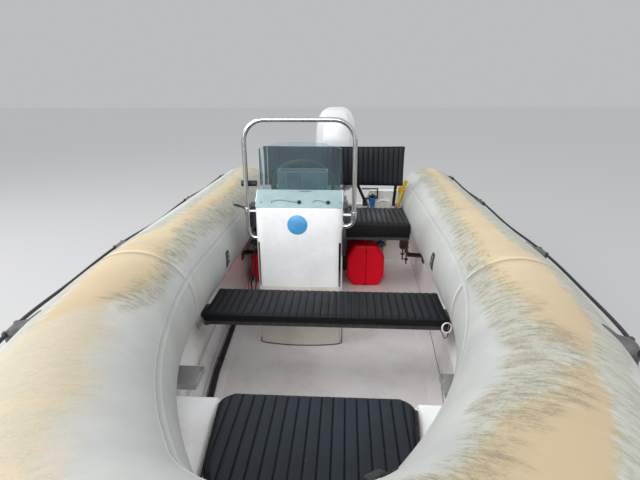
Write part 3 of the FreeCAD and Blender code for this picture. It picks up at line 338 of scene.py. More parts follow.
def finish(name, colour, rough, metal=0.0, dirt=None, dirt_at=(3.0, 0.5, 0.7), dirt_share=0.6, grain=None,
           rough_spread=0.08, stretch=(1, 1, 1), coat=0.0, speck=None, shine=0.5):
    """A worn paint, plastic or metal: patchy dirt, a fine grain and an uneven gloss."""
    mat, nodes, links, shader = shader_of(name, colour, rough, metal)
    shader.inputs["Specular IOR Level"].default_value = shine
    where = place_nodes(nodes, links, scale=stretch)
    wide = noise(nodes, links, where, dirt_at[0], 6.0, 0.62)
    fine = noise(nodes, links, where, dirt_at[0] * 14, 3.0)
    top = colour
    if dirt:
        mixed = maths(nodes, links, "ADD", wide, maths(nodes, links, "MULTIPLY", fine, 0.16))
        share = maths(nodes, links, "MULTIPLY", ramp(nodes, links, mixed, dirt_at[1], dirt_at[2]),
                      dirt_share)
        top = tint(nodes, links, share, colour, dirt)
    if speck:
        tiny = noise(nodes, links, where, speck[1], 2.0)
        dots = maths(nodes, links, "MULTIPLY", ramp(nodes, links, tiny, speck[2], speck[2] + 0.04), speck[3])
        top = tint(nodes, links, dots, top, speck[0])
    if not isinstance(top, tuple):
        links.new(top, shader.inputs["Base Color"])
    spread = ramp(nodes, links, wide, 0.3, 0.7, max(0.02, rough - rough_spread),
                  min(1.0, rough + rough_spread))
    links.new(spread, shader.inputs["Roughness"])
    if coat:
        shader.inputs["Coat Weight"].default_value = coat
        shader.inputs["Coat Roughness"].default_value = 0.08
    if grain:
        small = noise(nodes, links, where, grain[0], 3.0)
        bump(nodes, links, shader, small, grain[1], grain[2])
    return mat


def collar_fabric():
    """Coated fabric gone ochre on top, with dirt brushed down round the tube from the crown."""
    mat, nodes, links, shader = shader_of("collar_fabric", (0.52, 0.525, 0.51), 0.55)
    flat = place_nodes(nodes, links, "UV")
    slant = place_nodes(nodes, links, "UV", (44, 13, 1), (0, 0, 0.30))
    hairs = place_nodes(nodes, links, "UV", (210, 46, 1), (0, 0, 0.22))
    ochre, grime, edge, fore, mottle = (
        attribute(nodes, n) for n in ("ochre", "grime", "fringe", "fore", "mottle"))
    wide = noise(nodes, links, flat, 3.1, 5.0, 0.6)
    patch = noise(nodes, links, flat, 8.5, 9.0, 0.72)
    brush = noise(nodes, links, slant, 1.0, 9.0, 0.74)
    hair = noise(nodes, links, hairs, 1.0, 6.0, 0.72)
    grit = noise(nodes, links, flat, 150.0, 5.0, 0.7)

    def mixed(*shares):
        """A weighted sum of noises."""
        total = 0.0
        for value, share in shares:
            total = maths(nodes, links, "ADD", total, maths(nodes, links, "MULTIPLY", value, share))
        return total

    wave = mixed((brush, 0.42), (patch, 0.36), (hair, 0.22))

    def spread(level, reach):
        """Moves a band's edge in and out by the noise."""
        swing = maths(nodes, links, "MULTIPLY", maths(nodes, links, "SUBTRACT", wave, 0.5), reach)
        return maths(nodes, links, "ADD", level, swing)

    def laid(top, share, amount, colour):
        return tint(nodes, links, maths(nodes, links, "MULTIPLY", share, amount), top, colour)

    top = tint(nodes, links, ramp(nodes, links, wide, 0.35, 0.7), (0.475, 0.49, 0.475), (0.56, 0.565, 0.54))
    grubby = ramp(nodes, links, spread(grime, 3.2), 0.10, 0.90)
    top = laid(top, grubby, 0.70, (0.46, 0.445, 0.345))
    gold = tint(nodes, links, ramp(nodes, links, wide, 0.35, 0.65), (0.60, 0.488, 0.298),
                (0.54, 0.425, 0.252))
    gold = laid(gold, fore, 0.62, (0.440, 0.325, 0.180))
    gold = laid(gold, ramp(nodes, links, patch, 0.50, 0.66), 0.45, (0.57, 0.415, 0.305))
    gold = laid(gold, ramp(nodes, links, mixed((hair, 0.5), (grit, 0.5)), 0.52, 0.62), 0.40,
                (0.44, 0.39, 0.28))
    band = ramp(nodes, links, spread(ochre, 4.2), 0.28, 0.78)
    top = tint(nodes, links, maths(nodes, links, "MULTIPLY", band, 0.93), top, gold)
    strokes = ramp(nodes, links, mixed((brush, 0.5), (hair, 0.5)), 0.45, 0.58)
    top = laid(top, maths(nodes, links, "MULTIPLY", grubby, strokes), 0.82, (0.205, 0.195, 0.135))
    blots = ramp(nodes, links, mixed((patch, 0.6), (grit, 0.4)), 0.50, 0.60)
    brown = maths(nodes, links, "MULTIPLY", maths(nodes, links, "MULTIPLY", grubby, blots), fore)
    top = laid(top, brown, 0.62, (0.270, 0.220, 0.150))
    flecks = ramp(nodes, links, mixed((hair, 0.55), (grit, 0.45)), 0.535, 0.60)
    pale = maths(nodes, links, "MULTIPLY", flecks, ramp(nodes, links, spread(grime, 3.2), 0.10, 0.70))
    top = laid(top, pale, 0.46, (0.72, 0.70, 0.60))
    fringe = maths(nodes, links, "MULTIPLY", ramp(nodes, links, spread(edge, 2.6), 0.15, 0.8), strokes)
    top = laid(top, ramp(nodes, links, spread(edge, 2.6), 0.25, 0.9), 0.55, (0.42, 0.42, 0.32))
    top = laid(top, fringe, 0.60, (0.26, 0.265, 0.19))
    stain = tint(nodes, links, ramp(nodes, links, patch, 0.40, 0.60), (0.475, 0.45, 0.355),
                 (0.545, 0.465, 0.335))
    stain = laid(stain, ramp(nodes, links, wide, 0.50, 0.66), 0.4, (0.54, 0.45, 0.385))
    stain = laid(stain, ramp(nodes, links, mixed((brush, 0.3), (grit, 0.7)), 0.46, 0.58), 0.55,
                 (0.34, 0.315, 0.235))
    stain = laid(stain, ramp(nodes, links, mixed((hair, 0.4), (grit, 0.6)), 0.51, 0.60), 0.50,
                 (0.68, 0.65, 0.55))
    soft = ramp(nodes, links, spread(mottle, 1.4), 0.10, 0.75)
    top = laid(top, maths(nodes, links, "MULTIPLY", soft, ramp(nodes, links, mottle, 0.0, 0.25)), 0.86,
               stain)
    top = laid(top, ramp(nodes, links, grit, 0.57, 0.66), 0.16, (0.30, 0.285, 0.24))
    links.new(top, shader.inputs["Base Color"])
    links.new(ramp(nodes, links, patch, 0.3, 0.7, 0.48, 0.68), shader.inputs["Roughness"])
    weave = noise(nodes, links, flat, 420.0, 2.0)
    rough_skin = bump(nodes, links, shader, weave, 0.10, 0.0006)
    bump(nodes, links, shader, mixed((brush, 0.5), (hair, 0.5)), 0.10, 0.0010, rough_skin)
    return mat


def vinyl(name, colour, dust_and_sheen, top_share=0.5):
    """Grained upholstery vinyl with patches of dust and painted sheen on it."""
    mat, nodes, links, shader = shader_of(name, colour, 0.42)
    shader.inputs["Specular IOR Level"].default_value = 0.22
    where = place_nodes(nodes, links)
    wide = noise(nodes, links, where, 5.0, 5.0, 0.6)
    scuff = noise(nodes, links, where, 46.0, 4.0, 0.6)
    # Lighter patches over the base colour: dust and painted sheen, strongest on the cushion tops.
    share = maths(nodes, links, "MULTIPLY", ramp(nodes, links, wide, 0.35, 0.7), top_share)
    top = tint(nodes, links, share, colour, dust_and_sheen)
    spots = maths(nodes, links, "MULTIPLY", ramp(nodes, links, scuff, 0.62, 0.74), 0.25)
    top = tint(nodes, links, spots, top, tuple(c * 1.8 for c in dust_and_sheen))
    links.new(top, shader.inputs["Base Color"])
    links.new(ramp(nodes, links, wide, 0.3, 0.7, 0.38, 0.52), shader.inputs["Roughness"])
    cells = nodes.new("ShaderNodeTexVoronoi")
    cells.inputs["Scale"].default_value = 620.0
    links.new(where, cells.inputs["Vector"])
    grain = bump(nodes, links, shader, cells.outputs["Distance"], 0.22, 0.0007)
    folds = noise(nodes, links, where, 22.0, 3.0)
    bump(nodes, links, shader, folds, 0.12, 0.002, grain)
    return mat


def brushed(name, colour, rough=0.28, stretch=(4, 90, 90), stain=(0.30, 0.17, 0.08), stain_share=0.15):
    """Bare steel drawn one way, with a little rust."""
    mat, nodes, links, shader = shader_of(name, colour, rough, 1.0)
    lines = noise(nodes, links, place_nodes(nodes, links, scale=stretch), 9.0, 3.0)
    where = place_nodes(nodes, links)
    wide = noise(nodes, links, where, 26.0, 5.0, 0.65)
    share = maths(nodes, links, "MULTIPLY", ramp(nodes, links, wide, 0.60, 0.75), stain_share)
    links.new(tint(nodes, links, share, colour, stain), shader.inputs["Base Color"])
    links.new(ramp(nodes, links, lines, 0.3, 0.7, rough - 0.08, rough + 0.12), shader.inputs["Roughness"])
    bump(nodes, links, shader, lines, 0.12, 0.0004)
    return mat


def braid_finish():
    """Black braid with grey on its crowns: dust and painted sheen."""
    mat, nodes, links, shader = shader_of("line_braid", (0.012, 0.012, 0.014), 0.62)
    crown = attribute(nodes, "crown")
    where = place_nodes(nodes, links)
    dust_and_sheen = noise(nodes, links, where, 34.0, 4.0)
    # Grey over the crowns of the plait in patches: dust and painted sheen.
    share = maths(nodes, links, "MULTIPLY", ramp(nodes, links, crown, 0.35, 0.95),
                  ramp(nodes, links, dust_and_sheen, 0.3, 0.7, 0.25, 1.0))
    links.new(tint(nodes, links, share, (0.008, 0.008, 0.010), (0.085, 0.085, 0.088)),
              shader.inputs["Base Color"])
    bump(nodes, links, shader, noise(nodes, links, where, 700.0, 2.0), 0.2, 0.0004)
    return mat


FABRIC = collar_fabric()
BRAID = braid_finish()
# Near-black vinyl for the sewn seams of the cushions: painted shade in the seam grooves.
VINYL_SEAM_SHADE = vinyl("seam_shade_vinyl", (0.0015, 0.002, 0.0035), (0.003, 0.0035, 0.005), 0.2)
# Vinyls for the cushion tops: patches of dust and painted sheen over much of them.
VINYL_DARK = vinyl("seat_vinyl", (0.0065, 0.0085, 0.0125), (0.012, 0.0145, 0.019), 0.8)
VINYL_TOP = vinyl("cushion_vinyl", (0.013, 0.0185, 0.027), (0.024, 0.032, 0.044), 0.8)
# A darker copy of the seat vinyl for the cushion walls and welts: painted shade on their sides.
VINYL_SIDE_SHADE = vinyl("cushion_side_shade_vinyl", (0.003, 0.0034, 0.004), (0.006, 0.0065, 0.0075), 0.4)
PATCH_RUBBER = finish("moulded_patch_rubber", (0.055, 0.058, 0.060), 0.62, dirt=(0.16, 0.15, 0.13),
                      dirt_at=(22, 0.5, 0.72), dirt_share=0.5, grain=(300, 0.25, 0.0006))
BLACK_RUBBER = finish("black_strake_rubber", (0.022, 0.022, 0.024), 0.6, dirt=(0.12, 0.115, 0.10),
                      dirt_at=(9, 0.5, 0.75), dirt_share=0.5, grain=(220, 0.2, 0.0006))
GELCOAT = finish("hull_gelcoat", (0.86, 0.855, 0.85), 0.22, dirt=(0.50, 0.47, 0.42),
                 dirt_at=(3.5, 0.52, 0.74), dirt_share=0.35, grain=(60, 0.03, 0.0008), coat=0.3,
                 speck=((0.12, 0.10, 0.09), 95, 0.71, 0.7))
DECK_COAT = finish("deck_gelcoat", (0.90, 0.85, 0.845), 0.38, dirt=(0.60, 0.54, 0.50),
                   dirt_at=(3.4, 0.52, 0.80), dirt_share=0.50, grain=(300, 0.12, 0.0006),
                   speck=((0.05, 0.04, 0.035), 70, 0.735, 0.9))
# A brighter copy of the gelcoat for the bow blocks: painted light, lifting them out of the tube's shade.
LIT_BLOCK_COAT = finish("bow_block_lit_gelcoat", (0.97, 0.965, 0.97), 0.22, dirt=(0.66, 0.60, 0.54),
                    dirt_at=(4, 0.5, 0.74), dirt_share=0.3, grain=(60, 0.03, 0.0008), coat=0.3)
CONSOLE_COAT = finish("console_gelcoat", (0.84, 0.85, 0.86), 0.2, dirt=(0.62, 0.63, 0.63),
                      dirt_at=(3.2, 0.45, 0.75), dirt_share=0.5, coat=0.35)
STEEL = brushed("brushed_plate_steel", (0.50, 0.50, 0.50), 0.34, (90, 6, 90))
BRIGHT = brushed("polished_rail_steel", (0.47, 0.48, 0.49), 0.16, (60, 60, 5), stain_share=0.05)
RUSTED = brushed("rusted_plate", (0.10, 0.065, 0.05), 0.55, (20, 20, 20), (0.34, 0.15, 0.05), 0.9)
BLACK_PAINT = finish("black_painted_steel", (0.018, 0.018, 0.020), 0.4, dirt=(0.09, 0.075, 0.06),
                     dirt_at=(18, 0.55, 0.75), dirt_share=0.5, grain=(160, 0.12, 0.0006), shine=0.3)
BLACK_PLASTIC = finish("black_moulded_plastic", (0.014, 0.014, 0.016), 0.45, dirt=(0.07, 0.07, 0.07),
                       dirt_at=(20, 0.5, 0.8), dirt_share=0.4, grain=(420, 0.2, 0.0005), shine=0.3)
TRAY_EDGE = finish("tray_edge", (0.13, 0.175, 0.20), 0.35)
TRAY_PLASTIC = finish("tray_plastic", (0.036, 0.068, 0.092), 0.35, dirt=(0.11, 0.15, 0.175),
                      dirt_at=(14, 0.45, 0.75), dirt_share=0.6, grain=(380, 0.15, 0.0005))
TANK_RED = finish("tank_plastic", (0.86, 0.001, 0.018), 0.34, dirt=(0.72, 0.003, 0.022),
                  dirt_at=(6, 0.45, 0.75), dirt_share=0.6, grain=(340, 0.12, 0.0006), shine=0.18)
CAP_NAVY = finish("cap_plastic", (0.010, 0.022, 0.085), 0.4, dirt=(0.05, 0.06, 0.09), dirt_at=(30, 0.5, 0.8),
                  dirt_share=0.4)
FILTER_BLUE = finish("filter_paint", (0.012, 0.16, 0.46), 0.28, dirt=(0.02, 0.09, 0.25),
                     dirt_at=(24, 0.45, 0.75), dirt_share=0.5, coat=0.3)
MOTOR_GREY = finish("motor_grey_paint", (0.34, 0.35, 0.36), 0.38, metal=0.35, dirt=(0.16, 0.155, 0.14),
                    dirt_at=(9, 0.5, 0.76), dirt_share=0.5, grain=(160, 0.06, 0.0005))
IRON = finish("cast_block", (0.22, 0.22, 0.23), 0.5, metal=0.7, dirt=(0.05, 0.05, 0.05),
              dirt_at=(12, 0.45, 0.7), grain=(120, 0.3, 0.001))
COWL = finish("cowl_paint", (0.58, 0.605, 0.605), 0.22, dirt=(0.70, 0.71, 0.71), dirt_at=(4, 0.45, 0.75),
              dirt_share=0.5, coat=0.4)
STAFF = finish("staff_paint", (0.72, 0.44, 0.012), 0.42, dirt=(0.42, 0.28, 0.05), dirt_at=(16, 0.5, 0.75),
               dirt_share=0.5)
RED_SHEATH = finish("red_sheath", (0.42, 0.012, 0.014), 0.4, dirt=(0.16, 0.03, 0.02),
                    dirt_at=(40, 0.45, 0.7))
SEALANT = finish("old_sealant", (0.035, 0.028, 0.024), 0.7, dirt=(0.16, 0.12, 0.09),
                 dirt_at=(40, 0.45, 0.65), grain=(200, 0.3, 0.001))
BOARD = finish("painted_board", (0.020, 0.020, 0.022), 0.6, dirt=(0.07, 0.06, 0.05), dirt_at=(10, 0.5, 0.75),
               grain=(90, 0.2, 0.001), stretch=(1, 6, 1))


def screen_acrylic():
    """Tinted acrylic sheet, its tint and haze changing in patches, with a thin blue-grey diffuse film mixed
    in.
    """
    mat, nodes, links, shader = shader_of("screen_acrylic", (0.90, 0.965, 0.965), 0.03)
    shader.inputs["Transmission Weight"].default_value = 1.0
    shader.inputs["IOR"].default_value = 1.10
    where = place_nodes(nodes, links)
    haze = noise(nodes, links, where, 7.0, 5.0, 0.6)
    links.new(tint(nodes, links, ramp(nodes, links, haze, 0.35, 0.7), (0.90, 0.965, 0.965),
                   (0.80, 0.925, 0.93)), shader.inputs["Base Color"])
    links.new(ramp(nodes, links, haze, 0.4, 0.75, 0.01, 0.06), shader.inputs["Roughness"])
    film = nodes.new("ShaderNodeBsdfDiffuse")
    film.inputs["Color"].default_value = (0.22, 0.32, 0.36, 1.0)
    mix = nodes.new("ShaderNodeMixShader")
    links.new(ramp(nodes, links, haze, 0.35, 0.7, 0.09, 0.16), mix.inputs["Fac"])
    links.new(shader.outputs["BSDF"], mix.inputs[1])
    links.new(film.outputs["BSDF"], mix.inputs[2])
    links.new(mix.outputs["Shader"], nodes["Material Output"].inputs["Surface"])
    return mat


SCREEN = screen_acrylic()
SCREEN_FOOT = finish("screen_over_gelcoat", (0.24, 0.35, 0.36), 0.10, dirt=(0.34, 0.47, 0.49),
                     dirt_at=(9, 0.4, 0.7), dirt_share=0.6, coat=0.2)
DISC_BLUE = finish("plain_disc", (0.045, 0.27, 0.56), 0.35, dirt=(0.09, 0.33, 0.60), dirt_at=(16, 0.45, 0.7))
BRASS = brushed("brass_fitting", (0.52, 0.36, 0.13), 0.3, (20, 20, 20))
FOOT_COAT = finish("console_foot_gelcoat", (0.70, 0.665, 0.61), 0.32, dirt=(0.45, 0.42, 0.37),
                   dirt_at=(4, 0.45, 0.75), dirt_share=0.5, grain=(90, 0.05, 0.0006))
# Dark red for the tanks' parting line: painted shade in the moulded groove.
SEAM_SHADE_RED = finish("tank_seam", (0.10, 0.001, 0.004), 0.5, shine=0.2)
SEAM_GREY = finish("cowl_seam", (0.30, 0.31, 0.32), 0.5)
DIAL_FACE = finish("dial_face", (0.015, 0.016, 0.018), 0.25, coat=0.6)

NODE_FINISHES = {
    "strake_port strake_starboard strake_bow": BLACK_RUBBER,
    "hull side_moulding bow_moulding transom bow_lid": GELCOAT,
    "deck": DECK_COAT,
    "console": CONSOLE_COAT,
    "thwart_board bench_frame": BOARD,
    "thwart_brackets backrest_hinges bow_eye": STEEL,
    "console_rail": BRIGHT,
    "backrest_arms": BLACK_PAINT,
    "windscreen": SCREEN,
    "console_tray": TRAY_PLASTIC,
    "steering_wheel helm_unit throttle_box throttle_lever side_conduit": BLACK_PLASTIC,
    "fuel_tank_port fuel_tank_starboard": TANK_RED,
    "tank_caps": CAP_NAVY,
    "fuel_filter": FILTER_BLUE,
    "motor_bracket motor_swivel motor_leg gearcase propeller": MOTOR_GREY,
    "powerhead": IRON,
    "motor_cowl": COWL,
    "staff": STAFF,
}
for names, material in NODE_FINISHES.items():
    for node in names.split():
        obj = NODES[node]
        obj.data.materials.clear()
        obj.data.materials.append(material)


# Free cords, on the same routes as the part's source.
EYES = [-1.650, -0.800, 0.130, 0.925, 1.500]
EYE_ANGLE = 38.0


def lifeline_points(side):
    points = [on_tube(x, side, EYE_ANGLE, 0.020) for x in (EYES[0] - 0.080, EYES[0] - 0.028)]
    for a, b in zip(EYES, EYES[1:]):
        near, far = a + 0.028, b - 0.028
        count = max(1, int(round((b - a - 0.220) / 0.120)))
        sag = 5.0 * min(1.0, (b - a) / 0.980)
        middle = [a + 0.110 + (b - a - 0.220) * i / count for i in range(count + 1)]
        for x in [near] + middle + [far]:
            share = (1 - math.cos(math.tau * (x - near) / (far - near))) / 2
            points.append(on_tube(x, side, EYE_ANGLE - sag * share, 0.020 - 0.003 * share))
    for x, drop in ((EYES[-1] + 0.028, 0), (EYES[-1] + 0.078, 2)):
        points.append(on_tube(x, side, EYE_ANGLE - drop, 0.020 - drop / 1000.0))
    return points


def spline(name, points, radius, material=None):
    """A smooth line through a cord's route."""
    data = bpy.data.curves.new(name, "CURVE")
    data.dimensions = "3D"
    data.resolution_u = 10
    data.bevel_depth = radius
    data.bevel_resolution = 4
    data.use_fill_caps = radius > 0
    line = data.splines.new("NURBS")
    line.points.add(len(points) - 1)
    for point, place in zip(line.points, points):
        point.co = (*place, 1.0)
    line.order_u = 3
    line.use_endpoint_u = True
    if material:
        data.materials.append(material)
    obj = bpy.data.objects.new(name, data)
    scene.collection.objects.link(obj)
    return obj


def read_line(points):
    """The smooth line itself, as a list of points."""
    guide = spline("guide_line", points, 0.0)
    bpy.context.view_layer.update()
    mesh = bpy.data.meshes.new_from_object(guide)
    line = [v.co.copy() for v in mesh.vertices]
    bpy.data.meshes.remove(mesh)
    bpy.data.objects.remove(guide)
    return line


def even(line, step):
    """The same line with its points at even steps."""
    out, carry = [line[0]], 0.0
    for a, b in zip(line, line[1:]):
        run = (b - a).length
        while run > 0 and carry + run >= step:
            a = a + (b - a) * ((step - carry) / run)
            run = (b - a).length
            carry = 0.0
            out.append(a.copy())
        carry += run
    if (out[-1] - line[-1]).length > step * 0.4:
        out.append(line[-1])
    return out


def braided_line(name, node, side):
    """A lifeline as a plaited tube, its crowns standing out of the plait."""
    step, sides, plait = 0.0032, 20, 0.0105
    line = read_line(lifeline_points(side))
    places = even(line, step)
    bm = bmesh.new()
    crown = bm.verts.layers.float.new("crown")
    ups = [Vector((0, 0, 1))] * len(places)
    run = [step * i for i in range(len(places))]

    def relief(k, s):
        around = 5.0 * k / sides
        return abs(math.sin(math.pi * (around + s / plait))) * abs(math.sin(math.pi * (around - s / plait)))

    def section(i):
        fade = min(1.0, min(i, len(places) - 1 - i) / 3.0)
        radius = [0.0052 + 0.0011 * relief(k, run[i]) * fade for k in range(sides)]
        return [(r * math.cos(math.tau * k / sides), r * math.sin(math.tau * k / sides))
                for k, r in enumerate(radius)]

    rings = sweep(bm, follow(places, section, ups))
    for i, ring in enumerate(rings):
        for k, v in enumerate(ring):
            v[crown] = relief(k, run[i])
    obj = keep(name, bm, BRAID, sharp=0, replaces=(node,))
    tuple(places[0])
    [tuple(p) for p in line]


braided_line("lifeline_braid_port", "lifeline_port", 1)
braided_line("lifeline_braid_starboard", "lifeline_starboard", -1)

CONSOLE_X, CONSOLE_Y, SIDE_Y = -0.193, -0.155, -0.3873
CABLE_ROUTE = [(-0.202, -0.0606, 0.775), (-0.200, -0.106, 0.780), (-0.208, -0.148, 0.786),
               (-0.236, -0.172, 0.786), (-0.268, -0.160, 0.778), (-0.284, -0.122, 0.758),
               (-0.286, -0.088, 0.712), (-0.284, -0.076, 0.636), (-0.300, -0.076, 0.540),
               (-0.326, -0.080, 0.430), (-0.366, -0.088, 0.320), (-0.420, -0.100, 0.215),
               (-0.496, -0.126, 0.128), (-0.590, -0.160, 0.068), (-0.690, -0.194, 0.042),
               (-0.796, -0.222, 0.0364), (-0.900, -0.232, 0.0358), (-1.020, -0.234, 0.0356),
               (-1.140, -0.232, 0.0358), (-1.250, -0.229, 0.0364), (-1.3524, -0.226, 0.038)]
RED_ROUTE = [(-0.536, -0.184, 0.0336), (-0.574, -0.194, 0.056), (-0.608, -0.200, 0.094),
             (-0.646, -0.202, 0.124), (-0.690, -0.201, 0.136), (-0.738, -0.196, 0.128),
             (-0.774, -0.184, 0.108), (-0.8024, -0.170, 0.092)]
HOSE_ROUTE = [(-1.246, 0.300, 0.3509), (-1.251, 0.301, 0.378), (-1.290, 0.306, 0.402),
              (-1.340, 0.310, 0.400), (-1.394, 0.311, 0.398), (-1.448, 0.311, 0.410),
              (-1.490, 0.3105, 0.438), (-1.509, 0.310, 0.474), (-1.5127, 0.310, 0.5044)]


def plain_cord(name, node, points, radius, material):
    obj = spline(name, points, radius, material)
    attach(obj, "boat")
    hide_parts(node)
    tuple(points[0])


plain_cord("control_cable_run", "control_cable", [(CONSOLE_X + x, SIDE_Y + y, z) for x, y, z in CABLE_ROUTE],
           0.005, BLACK_PLASTIC)
plain_cord("red_cable_run", "red_cable", [(CONSOLE_X + x, SIDE_Y + y, z) for x, y, z in RED_ROUTE], 0.003,
           RED_SHEATH)
plain_cord("fuel_hose_run", "fuel_hose", HOSE_ROUTE, 0.004, BLACK_RUBBER)

# Edges of the stains on the collar: spots listed in a view of 640 by 480 pixels, stern first.
VIEW = scene.camera.matrix_world.copy()
VIEW_WIDE, VIEW_TALL = 640, 480
VIEW_LENS = VIEW_WIDE * LENS_MM / SENSOR_MM
OCHRE_INNER_SPOTS = {
    1: [(440, 190), (455, 215), (467, 232), (480, 260), (500, 290), (520, 306), (526, 326), (586, 358),
        (564, 378), (552, 406), (500, 430), (462, 460), (445, 478)],
    -1: [(225, 200), (200, 215), (182, 230), (164, 260), (160, 278), (140, 298), (112, 310), (108, 350),
         (90, 370), (96, 410), (80, 430), (70, 470)]}
OCHRE_OUTER_SPOTS = {
    1: [(470, 200), (512, 240), (552, 268), (568, 290), (600, 330), (598, 358), (620, 410)],
    -1: [(215, 190), (160, 228), (128, 242), (108, 256), (76, 284), (36, 324)]}
STREAK_END_SPOTS = {
    1: [(432, 200), (450, 235), (452, 250), (468, 286), (474, 304), (490, 342), (496, 370), (480, 400),
        (456, 430), (444, 450)],
    -1: [(238, 215), (215, 230), (198, 245), (178, 270), (160, 310), (156, 330), (130, 345)]}


def collar_line(side):
    """The tube's axes at close stations: along the straight length, then round the bend and the nose."""
    straight = [tube_axes(STERN + (BEND_X - STERN) * k / 90.0, side) for k in range(91)]
    return straight + [tube_axes(None, side, 0.5 * k) for k in range(1, 181)]


COLLAR_LINE = {side: collar_line(side) for side in (1, -1)}


def spot_on_collar(px, py, side):
    """Where a spot of the view lies on the collar: its station, and its angle round the tube."""
    away = Vector((px - VIEW_WIDE / 2, VIEW_TALL / 2 - py, -VIEW_LENS))
    ahead = (VIEW.to_3x3() @ away).normalized()
    spot = VIEW.translation.copy()
    for _ in range(400):
        centre, heading, outer, up, _ = min(COLLAR_LINE[side],
                                            key=lambda axes: (axes[0] - spot).length_squared)
        across = spot - centre
        across -= heading * across.dot(heading)
        gap = across.length - TUBE_R
        if gap < 0.0005:
            break
        spot = spot + ahead * max(gap, 0.0005)
    return spot.x, math.degrees(math.atan2(across.dot(up), across.dot(outer)))


def stain_edge(spots, at_stern, at_nose):
    """A stain's edge on each side as stations and angles. Both ends are out of view, and are guesses."""
    edges = {}
    for side, picked in spots.items():
        seen = sorted(spot_on_collar(px, py, side) for px, py in picked)
        edges[side] = [(-1.9, at_stern[side])] + seen + [(1.8, at_nose[side])]
    return edges


OCHRE_IN = stain_edge(OCHRE_INNER_SPOTS, {1: 98, -1: 108}, {1: 114, -1: 98})
OCHRE_OUT = stain_edge(OCHRE_OUTER_SPOTS, {1: 70, -1: 84}, {1: 70, -1: 50})
STREAK_END = stain_edge(STREAK_END_SPOTS, {1: 120, -1: 140}, {1: 122, -1: 114})

# The inner seam: its angle round the tube at a few stations, set against the view.
SEAM_AT = {
    1: [(-1.95, 140), (0.0, 143), (0.55, 149), (0.90, 156), (1.20, 161), (1.45, 157), (1.62, 150),
        (1.77, 147)],
    -1: [(-1.95, 150), (0.40, 152), (0.90, 154), (1.20, 151), (1.50, 147), (1.77, 147)]}


def weather(x, side, angle):
    """How ochre, grimy, fringed, far forward and mottled the collar is at a spot: -0.6 to 1 each."""
    a = (angle + 90.0) % 360.0 - 90.0
    inner, outer, end = (between(t[side], x) for t in (OCHRE_IN, OCHRE_OUT, STREAK_END))
    fore = min(1.0, max(0.0, (x - 0.55) / 0.55))
    ochre = min((inner - a) / 16.0, (a - outer) / 13.0) + 0.5
    grime = min((end + 4.0 - a) / 16.0, (a - inner + 16.0 + 6.0 * fore) / 18.0)
    fringe = min((outer + 8.0 - a) / 9.0, (a - outer + 24.0) / 10.0) - (0.35 if side < 0 else 0.0)
    mottle = 0.0
    if side < 0:
        start = min(1.0, max(0.0, (x - 1.02 + 0.004 * (a - 80.0)) / 0.16))
        within_inner = min(1.0, max(0.0, (inner + 16.0 - a) / 34.0))
        within_outer = min(1.0, max(0.0, (a - outer + 22.0) / 16.0))
        mottle = start * within_inner * within_outer
        grime -= 1.1 * start
        ochre -= 0.5 * start * min(1.0, max(0.0, (a - inner + 24.0) / 20.0))
    return [min(1.0, max(-0.6, v)) for v in (ochre, grime, fringe, fore, mottle)]


def run_at(x, turn=None):
    """Distance along the tube from the start of the bend."""
    if turn is None and x <= BEND_X:
        return x - BEND_X
    t = math.radians(turn_at(x) if turn is None else turn)
    if t <= BEND_A:
        return BEND_R * t
    return BEND_END + NOSE_R * (t - BEND_A) * 1.1


FABRIC_LAYERS = ("ochre", "grime", "fringe", "fore", "mottle", "round", "run")
PATTERN_SHIFT = 7.0


def fabric_mesh():
    """An empty mesh with the layers that the collar fabric reads."""
    bm = bmesh.new()
    for name in FABRIC_LAYERS:
        bm.verts.layers.float.new(name)
    bm.loops.layers.uv.new("flat")
    return bm


def mark(bm, v, x, side, angle, run):
    """Notes on a vertex where it lies on the tube, and its weather. The starboard pattern is shifted."""
    values = weather(x, side, angle) + [angle, run + (PATTERN_SHIFT if side < 0 else 0.0)]
    for name, value in zip(FABRIC_LAYERS, values):
        v[bm.verts.layers.float[name]] = value


def flatten(bm):
    """Lays the pattern out flat: distance along the tube, and distance round it."""
    flat = bm.loops.layers.uv["flat"]
    turned, run = bm.verts.layers.float["round"], bm.verts.layers.float["run"]
    for face in bm.faces:
        for loop in face.loops:
            loop[flat].uv = (loop.vert[run], math.radians(loop.vert[turned]) * TUBE_R)


RING = 80
RING_ANGLES = [-90.0 + 360.0 * k / RING for k in range(RING)]


def collar_skin(name, node, stations):
    """A length of the collar as rings drawn along it. Stations are (x, side, turn)."""
    bm = fabric_mesh()
    rows, notes = [], []
    for x, side, turn in stations:
        centre, _, outer, up, radius = tube_axes(x, side, turn)
        if turn == 90.0:
            centre, outer, up = Vector((centre.x, 0, centre.z)), Vector((1, 0, 0)), Vector((0, 0, 1))
        rows.append([centre + (outer * math.cos(math.radians(a)) + up * math.sin(math.radians(a))) * radius
                     for a in RING_ANGLES])
        notes.append((centre.x, side, run_at(x, turn)))
    for (x, side, run), ring in zip(notes, sweep(bm, rows)):
        for k, v in enumerate(ring):
            mark(bm, v, x, side, -90.0 + 360.0 * k / RING, run)
    flatten(bm)
    keep(name, bm, FABRIC, sharp=0, replaces=(node,))


def cone_stations(side):
    xs = [STERN - CONE * t for t in (1.0, 0.985, 0.96, 0.92, 0.88, 0.82, 0.74, 0.66, 0.58, 0.5, 0.4, 0.3,
                                     0.2, 0.1)]
    return [(x, side, None) for x in xs]


def side_stations(side):
    count = 46
    straight = [(STERN + (BEND_X - STERN) * i / count, side, None) for i in range(count + 1)]
    bend = [(BEND_X + (JOINT - BEND_X) * i / 8.0, side, None) for i in range(1, 9)]
    return cone_stations(side) + straight + bend


